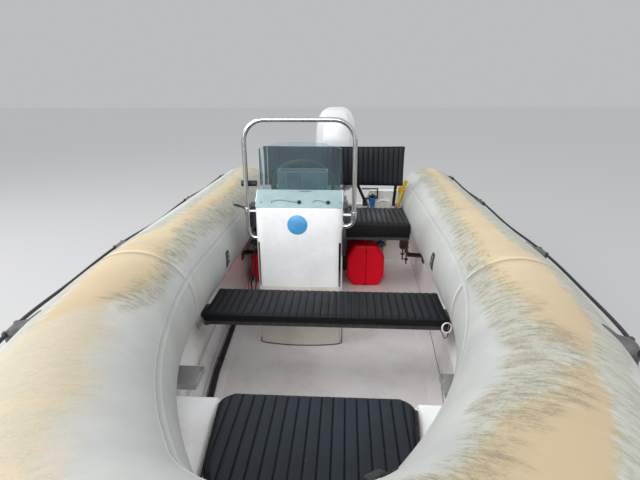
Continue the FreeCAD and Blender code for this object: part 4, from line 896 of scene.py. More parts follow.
for side, label in ((1, "port"), (-1, "starboard")):
    collar_skin("collar_skin_" + label, "tube_" + label, side_stations(side))
first_turn = turn_at(JOINT) + 0.007
bow_turns = [first_turn + (33 - first_turn) * i / 26.0 for i in range(27)]
bow_turns += [33 + 57 * i / 22.0 for i in range(1, 22)]
port_stations = [(None, 1, t) for t in bow_turns] + [(None, 1, 90.0)]
collar_skin("collar_skin_bow", "tube_bow", port_stations + [(None, -1, t) for t in reversed(bow_turns)])


def seam_tape(name, stations, angle_of, half=0.0130, proud=0.0005):
    """A glued tape along the tube, with two fine raised edges."""
    bm = fabric_mesh()
    shape = [(-1.0, -0.0015), (-1.0, proud * 0.6), (-0.94, proud * 2.2), (-0.88, proud), (0.0, proud * 0.8),
             (0.88, proud), (0.94, proud * 2.2), (1.0, proud * 0.6), (1.0, -0.0015)]
    rows, notes = [], []
    for x, side, turn in stations:
        centre, _, outer, up, radius = tube_axes(x, side, turn)
        if turn == 90.0:
            centre, outer = Vector((centre.x, 0, centre.z)), Vector((1, 0, 0))
        middle = angle_of(centre.x)
        row = []
        for across, out in shape:
            a = math.radians(middle) + across * half / radius
            row.append(centre + (outer * math.cos(a) + up * math.sin(a)) * (radius + out))
        rows.append(row)
        notes.append((centre.x, side, middle, run_at(x, turn)))
    for note, ring in zip(notes, sweep(bm, rows)):
        for v in ring:
            mark(bm, v, *note)
    flatten(bm)
    keep(name, bm, FABRIC, sharp=0)


def ring_tape(name, x, side, half=0.0165, proud=0.0006):
    """A tape right round the tube over the joint of two panels."""
    centre, heading, outer, up, radius = tube_axes(x, side)
    bm = fabric_mesh()
    shape = [(-1.0, -0.001), (-0.99, proud * 0.9), (-0.95, proud), (0.95, proud), (0.99, proud * 0.9),
             (1.0, -0.001)]
    rows = []
    for k in range(RING):
        a = math.radians(-90.0 + 360.0 * k / RING)
        rows.append([centre + heading * (half * s) + (outer * math.cos(a) + up * math.sin(a))
                     * (radius + out) for s, out in shape])
    for k, ring in enumerate(sweep(bm, rows + rows[:1], closed=False, caps=False)):
        for v in ring:
            mark(bm, v, centre.x, side, -90.0 + 360.0 * (k % RING) / RING, run_at(x))
    flatten(bm)
    keep(name, bm, FABRIC, sharp=0)


for side, label in ((1, "port"), (-1, "starboard")):
    stations = [(x, side, turn) for x, _, turn in side_stations(1)[12:] + port_stations]
    seam_tape("inner_seam_tape_" + label, stations, lambda x: between(SEAM_AT[side], x))
    seam_tape("lower_seam_tape_" + label, stations, lambda x: -62.0)
    ring_tape("panel_tape_" + label, 0.360, side)
    ring_tape("stern_tape_" + label, STERN + 0.02, side)
    ring_tape("middle_tape_" + label, -0.640, side)


def rim_of(bm):
    """The open edge of a sheet as an ordered list of vertices."""
    edges = [e for e in bm.edges if e.is_boundary]
    links = {}
    for e in edges:
        for a, b in (e.verts, reversed(e.verts)):
            links.setdefault(a, []).append(b)
    first = edges[0].verts[0]
    walk, here = [first], links[first][0]
    while here != first:
        walk.append(here)
        step = [v for v in links[here] if v != walk[-2]]
        here = step[0]
    return walk


def ripple(x, y, z, scale):
    """A smooth waver between -1 and 1 that is the same in every run."""
    return (math.sin(x * scale * 1.7 + 2.1 * math.sin(y * scale * 0.9))
            + math.sin(y * scale * 2.3 + z * scale) + math.sin((x + y) * scale * 3.1 + 1.3)) / 3.0


def steps_between(a, b, step, near=(0.0012, 0.004, 0.009)):
    """Places from a to b at about a step, closer together near both ends."""
    inner_a, inner_b = a + near[-1], b - near[-1]
    count = max(2, int(round((inner_b - inner_a) / step)))
    middle = [inner_a + (inner_b - inner_a) * i / count for i in range(count + 1)]
    return [a] + [a + d for d in near[:-1]] + middle + [b - d for d in reversed(near[:-1])] + [b]


def channel_lines(half, pitch):
    """Places across a cushion, close together at each sewn seam."""
    count = max(2, int(round(2 * half / pitch)))
    pitch = 2 * half / count
    lines = []
    for k in range(count):
        left = -half + k * pitch
        lines += [left + d for d in (0.0, 0.0012, 0.0032, 0.008, pitch / 2, pitch - 0.008, pitch - 0.0032,
                                     pitch - 0.0012)]
    return lines + [half], pitch


def channelled_pad(name, node, place, us, half_at, half, pitch, tall, body="boat", roll=0.010, crown=0.004,
                   groove=0.0042, pillow=0.0018, pull=0.003, belly=0.003, foot=0.005, welt=0.0028):
    """A sewn cushion: a crowned top with channels, walls that pull in between the corners, and welted edges.

    Its own axes are u along the channels, v across them and n through its thickness."""
    vs, pitch = channel_lines(half, pitch)
    bm = bmesh.new()
    bmesh.ops.create_grid(bm, x_segments=len(us) - 1, y_segments=len(vs) - 1, size=1.0)
    u_low, u_high = us[0], us[-1]
    nu, nv = len(us) - 1, len(vs) - 1

    def pulled(u, v):
        """Where a spot of the plan ends up after its sides are pulled in."""
        wide = half_at(u)
        v = max(-wide, min(wide, v))
        t = 2 * (u - u_low) / (u_high - u_low) - 1
        inward_v = pull * (1 - t ** 4) * (v / half)
        inward_u = pull * (1 - (v / half) ** 4) * t
        return u - inward_u, v - inward_v

    def top_at(u, v):
        wide = half_at(u)
        v = max(-wide, min(wide, v))
        d = max(0.0, min(u - u_low, u_high - u, wide - abs(v)))
        fall = roll - math.sqrt(max(0.0, roll * roll - (roll - min(d, roll)) ** 2))
        t, s = 2 * (u - u_low) / (u_high - u_low) - 1, v / half
        rise = crown * (1 - t * t) * (1 - s ** 6) - crown
        seam = abs((v + half + pitch / 2) % pitch - pitch / 2)
        sewn = groove * math.exp(-(seam / 0.0022)) * (0.85 + 0.15 * ripple(u, v, 0, 60))
        puff = pillow * (1 - (1 - seam / (pitch / 2)) ** 2) - pillow
        fade = min(1.0, d / 0.006)
        return tall + rise - fall + (puff - sewn) * fade + 0.0005 * ripple(u, v, 0, 28) * fade

    # Faces within 2.4 mm of a sewn seam take the third material, a near-black vinyl: painted shade in the
    # seam grooves.
    for face in bm.faces:
        j = int((face.calc_center_median().y + 1) / 2 * nv)
        from_seam = abs(((vs[j] + vs[j + 1]) / 2 + half + pitch / 2) % pitch - pitch / 2)
        face.material_index = 2 if from_seam < 0.0024 and 0.01 < vs[j] + half < 2 * half - 0.01 else 0
    for v in bm.verts:
        i, j = round((v.co.x + 1) / 2 * nu), round((v.co.y + 1) / 2 * nv)
        u, w = us[i], vs[j]
        v.co = Vector((*pulled(u, w), top_at(u, w)))
    bmesh.ops.remove_doubles(bm, verts=bm.verts, dist=1e-5)
    rim = rim_of(bm)
    spots = [v.co.copy() for v in rim]
    count = len(spots)
    middle = sum(spots, Vector()) / count
    outs = []
    for k in range(count):
        along = spots[(k + 1) % count] - spots[k - 1]
        out = Vector((along.y, -along.x, 0))
        if out.length < 1e-9:
            out = spots[k] - middle
        out.z = 0
        out.normalize()
        outs.append(out if out.dot(spots[k] - middle) > 0 else -out)
    rows = [spots]
    for share in (0.12, 0.3, 0.5, 0.7, 0.88, 1.0):
        row = []
        for p, out in zip(spots, outs):
            high = p.z - 0.0005
            height = high + (foot - high) * share
            row.append(Vector((p.x, p.y, 0)) + out * (belly * math.sin(math.pi * share) - 0.002 * share)
                       + Vector((0, 0, height)))
        rows.append(row)
    rows.append([p - out * (foot + 0.002) + Vector((0, 0, -p.z)) for p, out in zip(spots, outs)])
    # The walls and welts take the second material, a darker copy of the vinyl: painted shade on the sides.
    before = set(bm.faces)
    rings = sweep(bm, rows, caps=False)
    bm.faces.new(rings[-1][:count])
    for face in bm.faces:
        if face not in before:
            face.material_index = 1
    if welt:
        for row, lift in ((rows[0], -welt * 0.2), (rows[6], 0.0)):
            line = [p + out * welt * 0.35 + Vector((0, 0, lift)) for p, out in zip(row, outs)]
            thin = [line[0]]
            for p in line[1:]:
                if (p - thin[-1]).length > 0.004:
                    thin.append(p)
            loop = thin + [thin[0]]
            before = set(bm.faces)
            sweep(bm, follow(loop, round_section(welt, 7), [Vector((0, 0, 1))] * len(loop)), caps=False)
            for face in bm.faces:
                if face not in before:
                    face.material_index = 1
    bm.transform(place)
    obj = keep(name, bm, VINYL_TOP if node == "bow_cushion" else VINYL_DARK, body=body, sharp=0,
               replaces=(node,))
    obj.data.materials.append(VINYL_SIDE_SHADE)
    obj.data.materials.append(VINYL_SEAM_SHADE)


def axes_matrix(u, v, n, base):
    return Matrix.Translation(base) @ Matrix((u, v, n)).transposed().to_4x4()


X_AXIS, Y_AXIS, Z_AXIS = Vector((1, 0, 0)), Vector((0, 1, 0)), Vector((0, 0, 1))

low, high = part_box("thwart_cushion")
channelled_pad("thwart_pad", "thwart_cushion", axes_matrix(X_AXIS, Y_AXIS, Z_AXIS, (0, 0, low.z)),
               steps_between(low.x, high.x, 0.016), lambda u: high.y, high.y, 0.036, high.z - low.z)
low_b, high_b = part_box("bench_cushion")
channelled_pad("bench_pad", "bench_cushion", axes_matrix(X_AXIS, Y_AXIS, Z_AXIS, (0, 0, low_b.z)),
               steps_between(low_b.x, high_b.x, 0.018), lambda u: high_b.y, high_b.y, 0.037,
               high_b.z - low_b.z, roll=0.016, crown=0.009, groove=0.0062, pillow=0.0036, belly=0.004)
low_r, high_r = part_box("backrest")
channelled_pad("backrest_pad", "backrest", axes_matrix(Z_AXIS, Y_AXIS, X_AXIS, (low_r.x, 0, 0)),
               steps_between(low_r.z, high_r.z, 0.018), lambda u: high_r.y, high_r.y, 0.036,
               high_r.x - low_r.x, body="seat_back", roll=0.014, crown=0.006, belly=0.003)

low_c, high_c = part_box("bow_cushion")
BOW_OUTLINE = [(0.764, 0.328), (1.088, 0.294), (1.264, 0.200)]


def bow_half(u):
    """Half width of the bow cushion at a station, with rounded corners at both ends."""
    wide = between(BOW_OUTLINE, u)
    for end, radius in ((0.764, 0.062), (1.264, 0.040)):
        d = abs(u - end)
        if d < radius:
            wide = min(wide, between(BOW_OUTLINE, end) - 0.004 - radius
                       + math.sqrt(radius ** 2 - (radius - d) ** 2))
    return wide


channelled_pad("bow_pad", "bow_cushion", axes_matrix(X_AXIS, Y_AXIS, Z_AXIS, (0, 0, low_c.z)),
               steps_between(0.764, 1.264, 0.010, (0.0008, 0.003, 0.007, 0.013)), bow_half, 0.328, 0.0386,
               high_c.z - low_c.z, body="locker_lid", roll=0.012, crown=0.006, pull=0.002, welt=0.0042)


# Moulded rubber patches that hold the lifelines.
def line_patches(label, side):
    bm = bmesh.new()
    long_half, wide_half = 0.088, 0.037
    for x in EYES:
        part = bmesh.new()
        bmesh.ops.create_grid(part, x_segments=26, y_segments=14, size=1.0)
        spots = {}
        for v in part.verts:
            s, t = v.co.x, v.co.y
            around = s * long_half
            wide = wide_half * (1 - abs(s) ** 1.5) ** 0.85 + 0.0012
            swell = math.exp(-(around / 0.025) ** 2)
            waist = 1.0 - 0.28 * math.exp(-((abs(around) - 0.036) / 0.016) ** 2)
            lift = 0.0022 + 0.0235 * swell * (1 - 0.25 * t ** 4) + 0.0025 * (1 - t * t) * (1 - s * s)
            spots[v] = (t * wide * waist, around, lift)
        rim = rim_of(part)
        edge = [spots[v] for v in rim]

        def on_skin(u, around, out):
            angle = EYE_ANGLE + math.degrees(around / (TUBE_R * cone_share(x)))
            return on_tube(x + u, side, angle, out)

        for v, spot in spots.items():
            v.co = on_skin(*spot)
        rows = [[on_skin(u, a, h) for u, a, h in edge],
                [on_skin(u * 1.03, a * 1.01, max(0.0010, h * 0.5)) for u, a, h in edge],
                [on_skin(u * 1.05, a * 1.02, 0.0004) for u, a, h in edge]]
        sweep(part, rows, caps=False)
        mesh = bpy.data.meshes.new("patch_part")
        bmesh.ops.remove_doubles(part, verts=part.verts, dist=1e-5)
        part.to_mesh(mesh)
        part.free()
        bm.from_mesh(mesh)
        bpy.data.meshes.remove(mesh)
        for end in (-0.034, 0.034):
            here = on_tube(x + end, side, EYE_ANGLE, 0.020)
            heading = tube_axes(x + end, side)[1]
            add_ring(bm, here, heading, 0.0085, 0.0032, steps=20, sides=8)
    keep("line_patches_" + label, bm, PATCH_RUBBER, sharp=50, replaces=("line_eyes_" + label,))


line_patches("port", 1)
line_patches("starboard", -1)


# Surfaces of the solids, for setting details on them.
def mesh_of(name):
    """The mesh of a CAD node, or of a piece made here."""
    return NODES[name].data if name in NODES else bpy.data.meshes[name]


def skin_of(name):
    mesh = mesh_of(name)
    return BVHTree.FromPolygons([v.co for v in mesh.vertices], [tuple(p.vertices) for p in mesh.polygons])


def touch(skin, start, direction):
    """Where a straight line first meets a surface, and the way the surface faces there."""
    place, normal, _, _ = skin.ray_cast(Vector(start), Vector(direction))
    if normal.dot(Vector(direction)) > 0:
        normal = -normal
    return place, normal


def cut_lines(name, point, normal):
    """Closed lines where a plane cuts a solid, the longest first."""
    bm = bmesh.new()
    bm.from_mesh(mesh_of(name))
    bmesh.ops.remove_doubles(bm, verts=bm.verts, dist=1e-5)
    cut = bmesh.ops.bisect_plane(bm, geom=bm.verts[:] + bm.edges[:] + bm.faces[:], dist=1e-6, plane_co=point,
                                 plane_no=normal)["geom_cut"]
    edges = [e for e in cut if isinstance(e, bmesh.types.BMEdge)]
    links = {}
    for e in edges:
        a, b = e.verts
        links.setdefault(a, []).append(b)
        links.setdefault(b, []).append(a)
    loops, seen = [], set()
    for start in links:
        if start in seen or len(links[start]) != 2:
            continue
        walk = [start]
        seen.add(start)
        while True:
            step = [v for v in links[walk[-1]] if v not in seen]
            if not step:
                break
            walk.append(step[0])
            seen.add(step[0])
        loops.append([v.co.copy() for v in walk])
    bm.free()
    return sorted(loops, key=lambda loop: -sum((a - b).length for a, b in zip(loop, loop[1:] + loop[:1])))


def bead(bm, line, radius, sides=6, step=0.004, closed=True, up=(0, 0, 1)):
    """A thin round bead along a line."""
    thin = [line[0]]
    for p in line[1:]:
        if (p - thin[-1]).length > step:
            thin.append(p)
    if closed:
        thin.append(thin[0])
    ups = [Vector(up)] * len(thin)
    sweep(bm, follow(thin, round_section(radius, sides), ups), caps=not closed)


def plate_line(bm, points, up, half, thick):
    """A flat band carried along a line of points."""
    shape = [(-half, 0), (-half, thick * 0.6), (-half * 0.9, thick), (half * 0.9, thick),
             (half, thick * 0.6), (half, 0)]
    sweep(bm, follow([Vector(p) for p in points], shape, [Vector(u) for u in up]))


def socket_head(bm, place, axis, radius, height):
    """A six-sided bolt head on a round washer."""
    axis = Vector(axis).normalized()
    add_turned(bm, Vector(place), axis,
               [(0, -0.0004), (radius * 1.7, -0.0004), (radius * 1.7, height * 0.22), (0, height * 0.22)],
               18)
    add_rod(bm, Vector(place), Vector(place) + axis * height, radius, radius * 0.94, segments=6)


# Stays and flanges of the console rail.
RAIL_X, RAIL_P, RAIL_S = -0.293, 0.135, -0.445
SIDE_P, SIDE_S = 0.0772, -0.3872
bm = bmesh.new()
for y, wall, level in ((RAIL_P, SIDE_P, 0.768), (RAIL_S, SIDE_S, 0.785)):
    way = 1 if y > wall else -1
    add_rod(bm, (RAIL_X, wall, level), (RAIL_X, y, level), 0.0105)
    add_turned(bm, (RAIL_X, wall, level), (0, way, 0),
               [(0, 0), (0.023, 0), (0.023, 0.002), (0.020, 0.004), (0.0105, 0.005)])
    add_turned(bm, (RAIL_X, y, level - 0.022), (0, 0, 1),
               [(0.0120, 0), (0.0160, 0.001), (0.0168, 0.004), (0.0168, 0.040), (0.0160, 0.043),
                (0.0120, 0.044)], 32)
    socket_head(bm, (RAIL_X + 0.016, y, level), (1, 0, 0), 0.0042, 0.005)
for wall, level, way in ((SIDE_P, 0.705, 1), (SIDE_S, 0.633, -1)):
    add_turned(bm, (RAIL_X, wall, level), (0, way, 0),
               [(0.0125, 0), (0.028, 0), (0.028, 0.002), (0.025, 0.0045), (0.0135, 0.006)], 32)
    for k in range(3):
        a = math.tau * k / 3 + 0.5
        add_screw(bm, (RAIL_X + 0.0205 * math.cos(a), wall + way * 0.0040, level + 0.0205 * math.sin(a)),
                  (0, way, 0), 0.0028, 0.0016)
keep("rail_stays", bm, BRIGHT)

# Console face: screen flange with its screws, slot, plain disc, latch box, curved foot and its caulk line.
SLOPE, RISE_OUT = Vector((-0.7886, 0, 0.6151)), Vector((0.6151, 0, 0.7886))
LIP = Vector((CONSOLE_X, 0, 0.827))
bm = bmesh.new()
rows = []
for s, half in ((0.0035, 0.222), (0.0060, 0.225), (0.0120, 0.2275), (0.1180, 0.2275), (0.1235, 0.2265)):
    base = LIP + SLOPE * s
    edge = ((-half, 0.0004), (-half, 0.0034), (-half + 0.004, 0.0040), (half - 0.004, 0.0040),
            (half, 0.0034), (half, 0.0004))
    rows.append([base + RISE_OUT * off + Vector((0, CONSOLE_Y + y, 0)) for y, off in edge])
sweep(bm, rows)
keep("screen_flange", bm, SCREEN_FOOT)
bm = bmesh.new()
for y in (-0.356, -0.302, 0.064):
    add_screw(bm, LIP + SLOPE * 0.036 + RISE_OUT * 0.004 + Vector((0, y, 0)), RISE_OUT, 0.0050, 0.0036)
WIRE = [(0.0, 0.036, 0.008), (0.010, 0.043, 0.008), (0.032, 0.050, 0.0075), (0.067, 0.049, 0.007),
        (0.102, 0.042, 0.007), (0.130, 0.036, 0.0075), (0.149, 0.036, 0.009)]
for start, stretch in ((-0.302, 1.0), (-0.082, 0.537)):
    line = [LIP + SLOPE * s + RISE_OUT * r + Vector((0, start + y * stretch, 0)) for y, s, r in WIRE]
    sweep(bm, follow(line, round_section(0.0018, 8), [RISE_OUT] * len(line)))
keep("flange_screws", bm, BRIGHT)
bm = bmesh.new()
for y in (-0.153, -0.002):
    add_turned(bm, LIP + SLOPE * 0.036 + RISE_OUT * 0.004 + Vector((0, y, 0)), RISE_OUT,
               [(0, 0), (0.0095, 0), (0.0105, 0.003), (0.0100, 0.008), (0.0075, 0.0115), (0.003, 0.013),
                (0, 0.0133)])
add_block(bm, (-0.2865, -0.157, 0.8995), (-0.2765, -0.093, 0.9015), 0.0006)
add_block(bm, (-0.262, 0.0775, 0.560), (-0.214, 0.0935, 0.704), 0.004)
add_block(bm, (-0.252, 0.0930, 0.610), (-0.224, 0.0990, 0.655), 0.003)
keep("console_black_parts", bm, BLACK_PLASTIC)
bm = bmesh.new()
add_turned(bm, (-0.19305, -0.162, 0.738), (1, 0, 0),
           [(0, 0), (0.0535, 0), (0.0535, 0.0006), (0.0530, 0.0009), (0, 0.0009)], 64)
keep("plain_disc", bm, DISC_BLUE)
bm = bmesh.new()
rows = []
for level, swell in ((0.0305, 0.028), (0.036, 0.0275), (0.10, 0.025), (0.20, 0.020), (0.30, 0.013),
                     (0.37, 0.0055), (0.385, 0.0012)):
    row = []
    for k in range(25):
        t = -1 + 2 * k / 24.0
        row.append(Vector((-0.1932 + 0.0008 + swell * (1 - t * t) ** 0.8, CONSOLE_Y + 0.222 * t, level)))
    rows.append(row + [Vector((-0.1945, CONSOLE_Y + way * 0.222, level)) for way in (1, -1)])
sweep(bm, rows)
keep("console_foot", bm, FOOT_COAT)
bm = bmesh.new()
line = [Vector((-0.1918 + 0.0285 * (1 - t * t) ** 0.8, CONSOLE_Y + 0.2225 * t, 0.0315))
        for t in [-1 + 2 * k / 40.0 for k in range(41)]]
line = [Vector((-0.480, line[0].y - 0.0105, 0.0315)), Vector((-0.200, line[0].y - 0.0105, 0.0315))] + line
line += [Vector((-0.200, line[-1].y + 0.0105, 0.0315)), Vector((-0.480, line[-1].y + 0.0105, 0.0315))]
sweep(bm, follow(line, round_section(0.0032, 8), [Z_AXIS] * len(line)))
keep("console_caulk", bm, SEALANT)

# Tray rim and ribs.
low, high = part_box("console_tray")
bm = bmesh.new()
corners = ((low.x + 0.003, low.y + 0.003), (high.x - 0.003, low.y + 0.003),
           (high.x - 0.003, high.y - 0.003), (low.x + 0.003, high.y - 0.003))
rim = [Vector((x, y, high.z - 0.001)) for x, y in corners]
for a, b in zip(rim, rim[1:] + rim[:1]):
    add_rod(bm, a, b, 0.0042, segments=12)
    bmesh.ops.create_uvsphere(bm, u_segments=12, v_segments=8, radius=0.0042, matrix=Matrix.Translation(a))
for y in (low.y + 0.045, (low.y + high.y) / 2, high.y - 0.045):
    add_block(bm, (high.x - 0.002, y - 0.0015, low.z + 0.06), (high.x + 0.0010, y + 0.0015, high.z - 0.006),
              0.0005)
keep("tray_rim", bm, TRAY_EDGE)

# Dials and switches on the dash, and the hub cap of the wheel.
DASH_OUT = Vector((-0.482, 0, 0.876)).normalized()
DASH_DOWN = Vector((-0.876, 0, -0.482)).normalized()
dash = skin_of("console")
bm, faces = bmesh.new(), bmesh.new()
for y in (-0.345, 0.035):
    place = touch(dash, (-0.430, y, 1.2), (0, 0, -1))[0]
    add_turned(bm, place, DASH_OUT,
               [(0.026, -0.001), (0.0335, -0.001), (0.0335, 0.005), (0.031, 0.008), (0.0275, 0.008),
                (0.0265, 0.004)], 36)
    add_turned(faces, place, DASH_OUT, [(0, -0.001), (0.0268, -0.001), (0.0268, 0.0040), (0, 0.0045)], 36)
keep("dial_rims", bm, BRIGHT)
keep("dial_faces", faces, DIAL_FACE)
bm = bmesh.new()
turn = Matrix((DASH_DOWN, Y_AXIS, DASH_OUT)).transposed().to_4x4()
place = touch(dash, (-0.452, -0.300, 1.2), (0, 0, -1))[0]
for k in range(4):
    here = Vector((place.x, -0.366 + 0.030 * k + (0.0 if k < 2 else 0.290), place.z)) + DASH_DOWN * 0.006
    add_block(bm, here - Vector((0.010, 0.007, 0.003)), here + Vector((0.010, 0.007, 0.003)), 0.001, turn)
keep("dash_switches", bm, BLACK_PLASTIC)
WHEEL_AXIS = Vector((-0.866, 0, 0.5))
bm = bmesh.new()
hub = Vector((-0.523, CONSOLE_Y, 0.885))
add_turned(bm, hub + WHEEL_AXIS * 0.020, WHEEL_AXIS,
           [(0, 0), (0.030, 0), (0.031, 0.003), (0.026, 0.008), (0.012, 0.011), (0, 0.0115)], 36)
keep("wheel_cap", bm, BLACK_PAINT, body="wheel")

# A boss and two bolts on the outer side of the throttle box.
bm = bmesh.new()
add_turned(bm, (-0.385, -0.4475, 0.778), (0, -1, 0),
           [(0, 0), (0.010, 0), (0.010, 0.010), (0.007, 0.014), (0, 0.014)], 20)
for z in (0.700, 0.790):
    socket_head(bm, (-0.405, -0.4472, z), (0, -1, 0), 0.0040, 0.004)
keep("throttle_bolts", bm, STEEL)


# Mooring pad-eyes stuck on the inner flanks of the tubes.
def flank_patch(label, side, x, angle):
    bm, bars = bmesh.new(), bmesh.new()
    half_x, half_a = 0.026, 0.042
    made = bmesh.ops.create_grid(bm, x_segments=14, y_segments=18, size=1.0)["verts"]
    notes = {}
    for v in made:
        s, t = v.co.x, v.co.y
        bulge = (s ** 8 + t ** 8) ** 0.125
        squeeze = 1.0 if bulge < 1 else 1 / bulge
        notes[v] = (s * squeeze, t * squeeze)
    rim_verts = rim_of(bm)
    edge = [notes[v] for v in rim_verts]

    def at(s, t, out, grow=1.0):
        return on_tube(x + s * half_x * grow, side, angle + math.degrees(t * half_a * grow / TUBE_R), out)

    for v, (s, t) in notes.items():
        border = max(abs(s), abs(t))
        v.co = at(s, t, 0.0028 if border > 0.74 else 0.0018)
    sweep(bm, [[at(s, t, 0.0028) for s, t in edge], [at(s, t, 0.0018, 1.03) for s, t in edge],
               [at(s, t, 0.0002, 1.04) for s, t in edge]], caps=False)
    bmesh.ops.remove_doubles(bm, verts=bm.verts, dist=1e-5)
    keep("flank_patch_" + label, bm, BLACK_RUBBER)
    ring = [at(s, t, 0.0065) for s, t in ((-0.55, -0.62), (0.55, -0.62), (0.55, 0.62), (-0.55, 0.62))]
    for a, b in zip(ring, ring[1:] + ring[:1]):
        add_rod(bars, a, b, 0.0030, segments=10)
        bmesh.ops.create_uvsphere(bars, u_segments=10, v_segments=6, radius=0.0030,
                                  matrix=Matrix.Translation(a))
    add_rod(bars, at(-0.55, 0, 0.006), at(0.55, 0, 0.006), 0.0036, segments=10)
    keep("flank_ring_" + label, bars, STEEL)


flank_patch("port", 1, -0.080, 175.0)
flank_patch("starboard", -1, -0.130, 181.0)


# Webbing grab strap on the port bow.
def bow_strap():
    bm = bmesh.new()
    centre, heading, outer, up, radius = tube_axes(None, 1, 50.0)
    rows = []
    steps = 40
    for i in range(steps + 1):
        t = i / steps
        angle = math.radians(172.0 - 26.0 * t)
        bow = math.sin(math.pi * min(1.0, max(0.0, (t - 0.16) / 0.68)))
        out = 0.0022 + 0.018 * bow ** 0.8 + 0.0008 * math.sin(t * 21)
        lean = 0.004 * math.sin(t * 9.0)
        way = outer * math.cos(angle) + up * math.sin(angle)
        wide = 0.019 - 0.005 * bow
        row = []
        for s, lift in ((-1, -0.0012), (-1, 0.0012), (-0.5, 0.0020), (0, 0.0012), (0.5, 0.0022), (1, 0.0012),
                        (1, -0.0012), (0.5, -0.0004), (0, -0.0012), (-0.5, -0.0006)):
            row.append(centre + heading * (wide * s + lean) + way * (radius + out + lift))
        rows.append(row)
    sweep(bm, rows)
    for angle in (170.0, 148.0):
        a = math.radians(angle)
        rows = []
        for k in range(-6, 7):
            b = a + math.radians(k * 0.7)
            way = outer * math.cos(b) + up * math.sin(b)
            wide = 0.020 * (1 - abs(k / 6.0) ** 4) + 0.003
            rows.append([centre + heading * (wide * s) + way * (radius + lift)
                         for s, lift in ((-1, 0.0002), (-1, 0.0018), (0, 0.0034), (1, 0.0018), (1, 0.0002))])
        sweep(bm, rows)
    keep("bow_strap", bm, BLACK_PLASTIC)


bow_strap()

# Thwart: shackle ring and lashing at the port corner, eyes at the starboard end, bolts through the brackets.
bm = bmesh.new()
add_ring(bm, (0.232, 0.553, 0.392), (1, 0.25, 0.25), 0.0225, 0.0034, steps=48, sides=12)
add_ring(bm, (0.229, -0.588, 0.418), (1, -0.3, 0.1), 0.014, 0.0022, steps=36, sides=10)
add_ring(bm, (0.226, -0.596, 0.396), (1, -0.2, 0.3), 0.010, 0.0020, steps=32, sides=10)
keep("thwart_rings", bm, GELCOAT)
bm = bmesh.new()
lashing = [(0.200, 0.530, 0.369), (0.222, 0.536, 0.362), (0.230, 0.541, 0.350), (0.228, 0.546, 0.337),
           (0.224, 0.553, 0.332), (0.222, 0.560, 0.338), (0.226, 0.562, 0.350), (0.228, 0.560, 0.366),
           (0.222, 0.556, 0.386), (0.205, 0.560, 0.394)]
wrap = [(0.214, 0.548 + 0.014 * math.cos(a), 0.388 + 0.022 * math.sin(a))
        for a in [math.tau * k / 24 for k in range(25)]]
second_wrap = [(x + 0.004, y + 0.007, z) for x, y, z in wrap]
for points, radius in ((lashing, 0.0022), (wrap, 0.0026), (second_wrap, 0.0026)):
    line = read_line([Vector(p) for p in points])
    bead(bm, line, radius, 8, 0.003, closed=False, up=(1, 0, 0))
for y in (-0.556, -0.548):
    loop = [Vector((0.216, y + 0.012 * math.cos(a), 0.392 + 0.026 * math.sin(a)))
            for a in [math.tau * j / 28 for j in range(29)]]
    bead(bm, loop, 0.0024, 8, 0.003, closed=False, up=(1, 0, 0))
keep("thwart_lashings", bm, BLACK_RUBBER)
bm = bmesh.new()
for side in (1, -1):
    for x in (0.030, 0.137):
        socket_head(bm, (x, side * 0.548, 0.3658), (0, 0, -1), 0.0055, 0.0065)
walls = skin_of("side_moulding")
for side in (1, -1):
    for x in (0.030, 0.137, 0.572, 0.638):
        place, normal = touch(walls, (x, 0, 0.335), (0, side, 0))
        socket_head(bm, place + normal * 0.0042, normal, 0.0050, 0.0055)
keep("bracket_bolts", bm, STEEL)

# Folded lips on the fore brackets.
bm = bmesh.new()
for side in (1, -1):
    wall = touch(walls, (0.605, 0, 0.365), (0, side, 0))[0]
    inner, outer = side * (abs(wall.y) - 0.131), side * (abs(wall.y) - 0.012)
    y_low, y_high = min(inner, outer), max(inner, outer)
    add_block(bm, (0.6595, y_low, 0.346), (0.6630, y_high, 0.3712), 0.0010)
    add_block(bm, (0.5470, y_low, 0.346), (0.5505, y_high, 0.3712), 0.0010)
    add_block(bm, (0.5490, min(inner, inner - side * 0.003), 0.346),
              (0.6610, max(inner, inner - side * 0.003), 0.3712), 0.0010)
keep("bracket_lips", bm, STEEL)

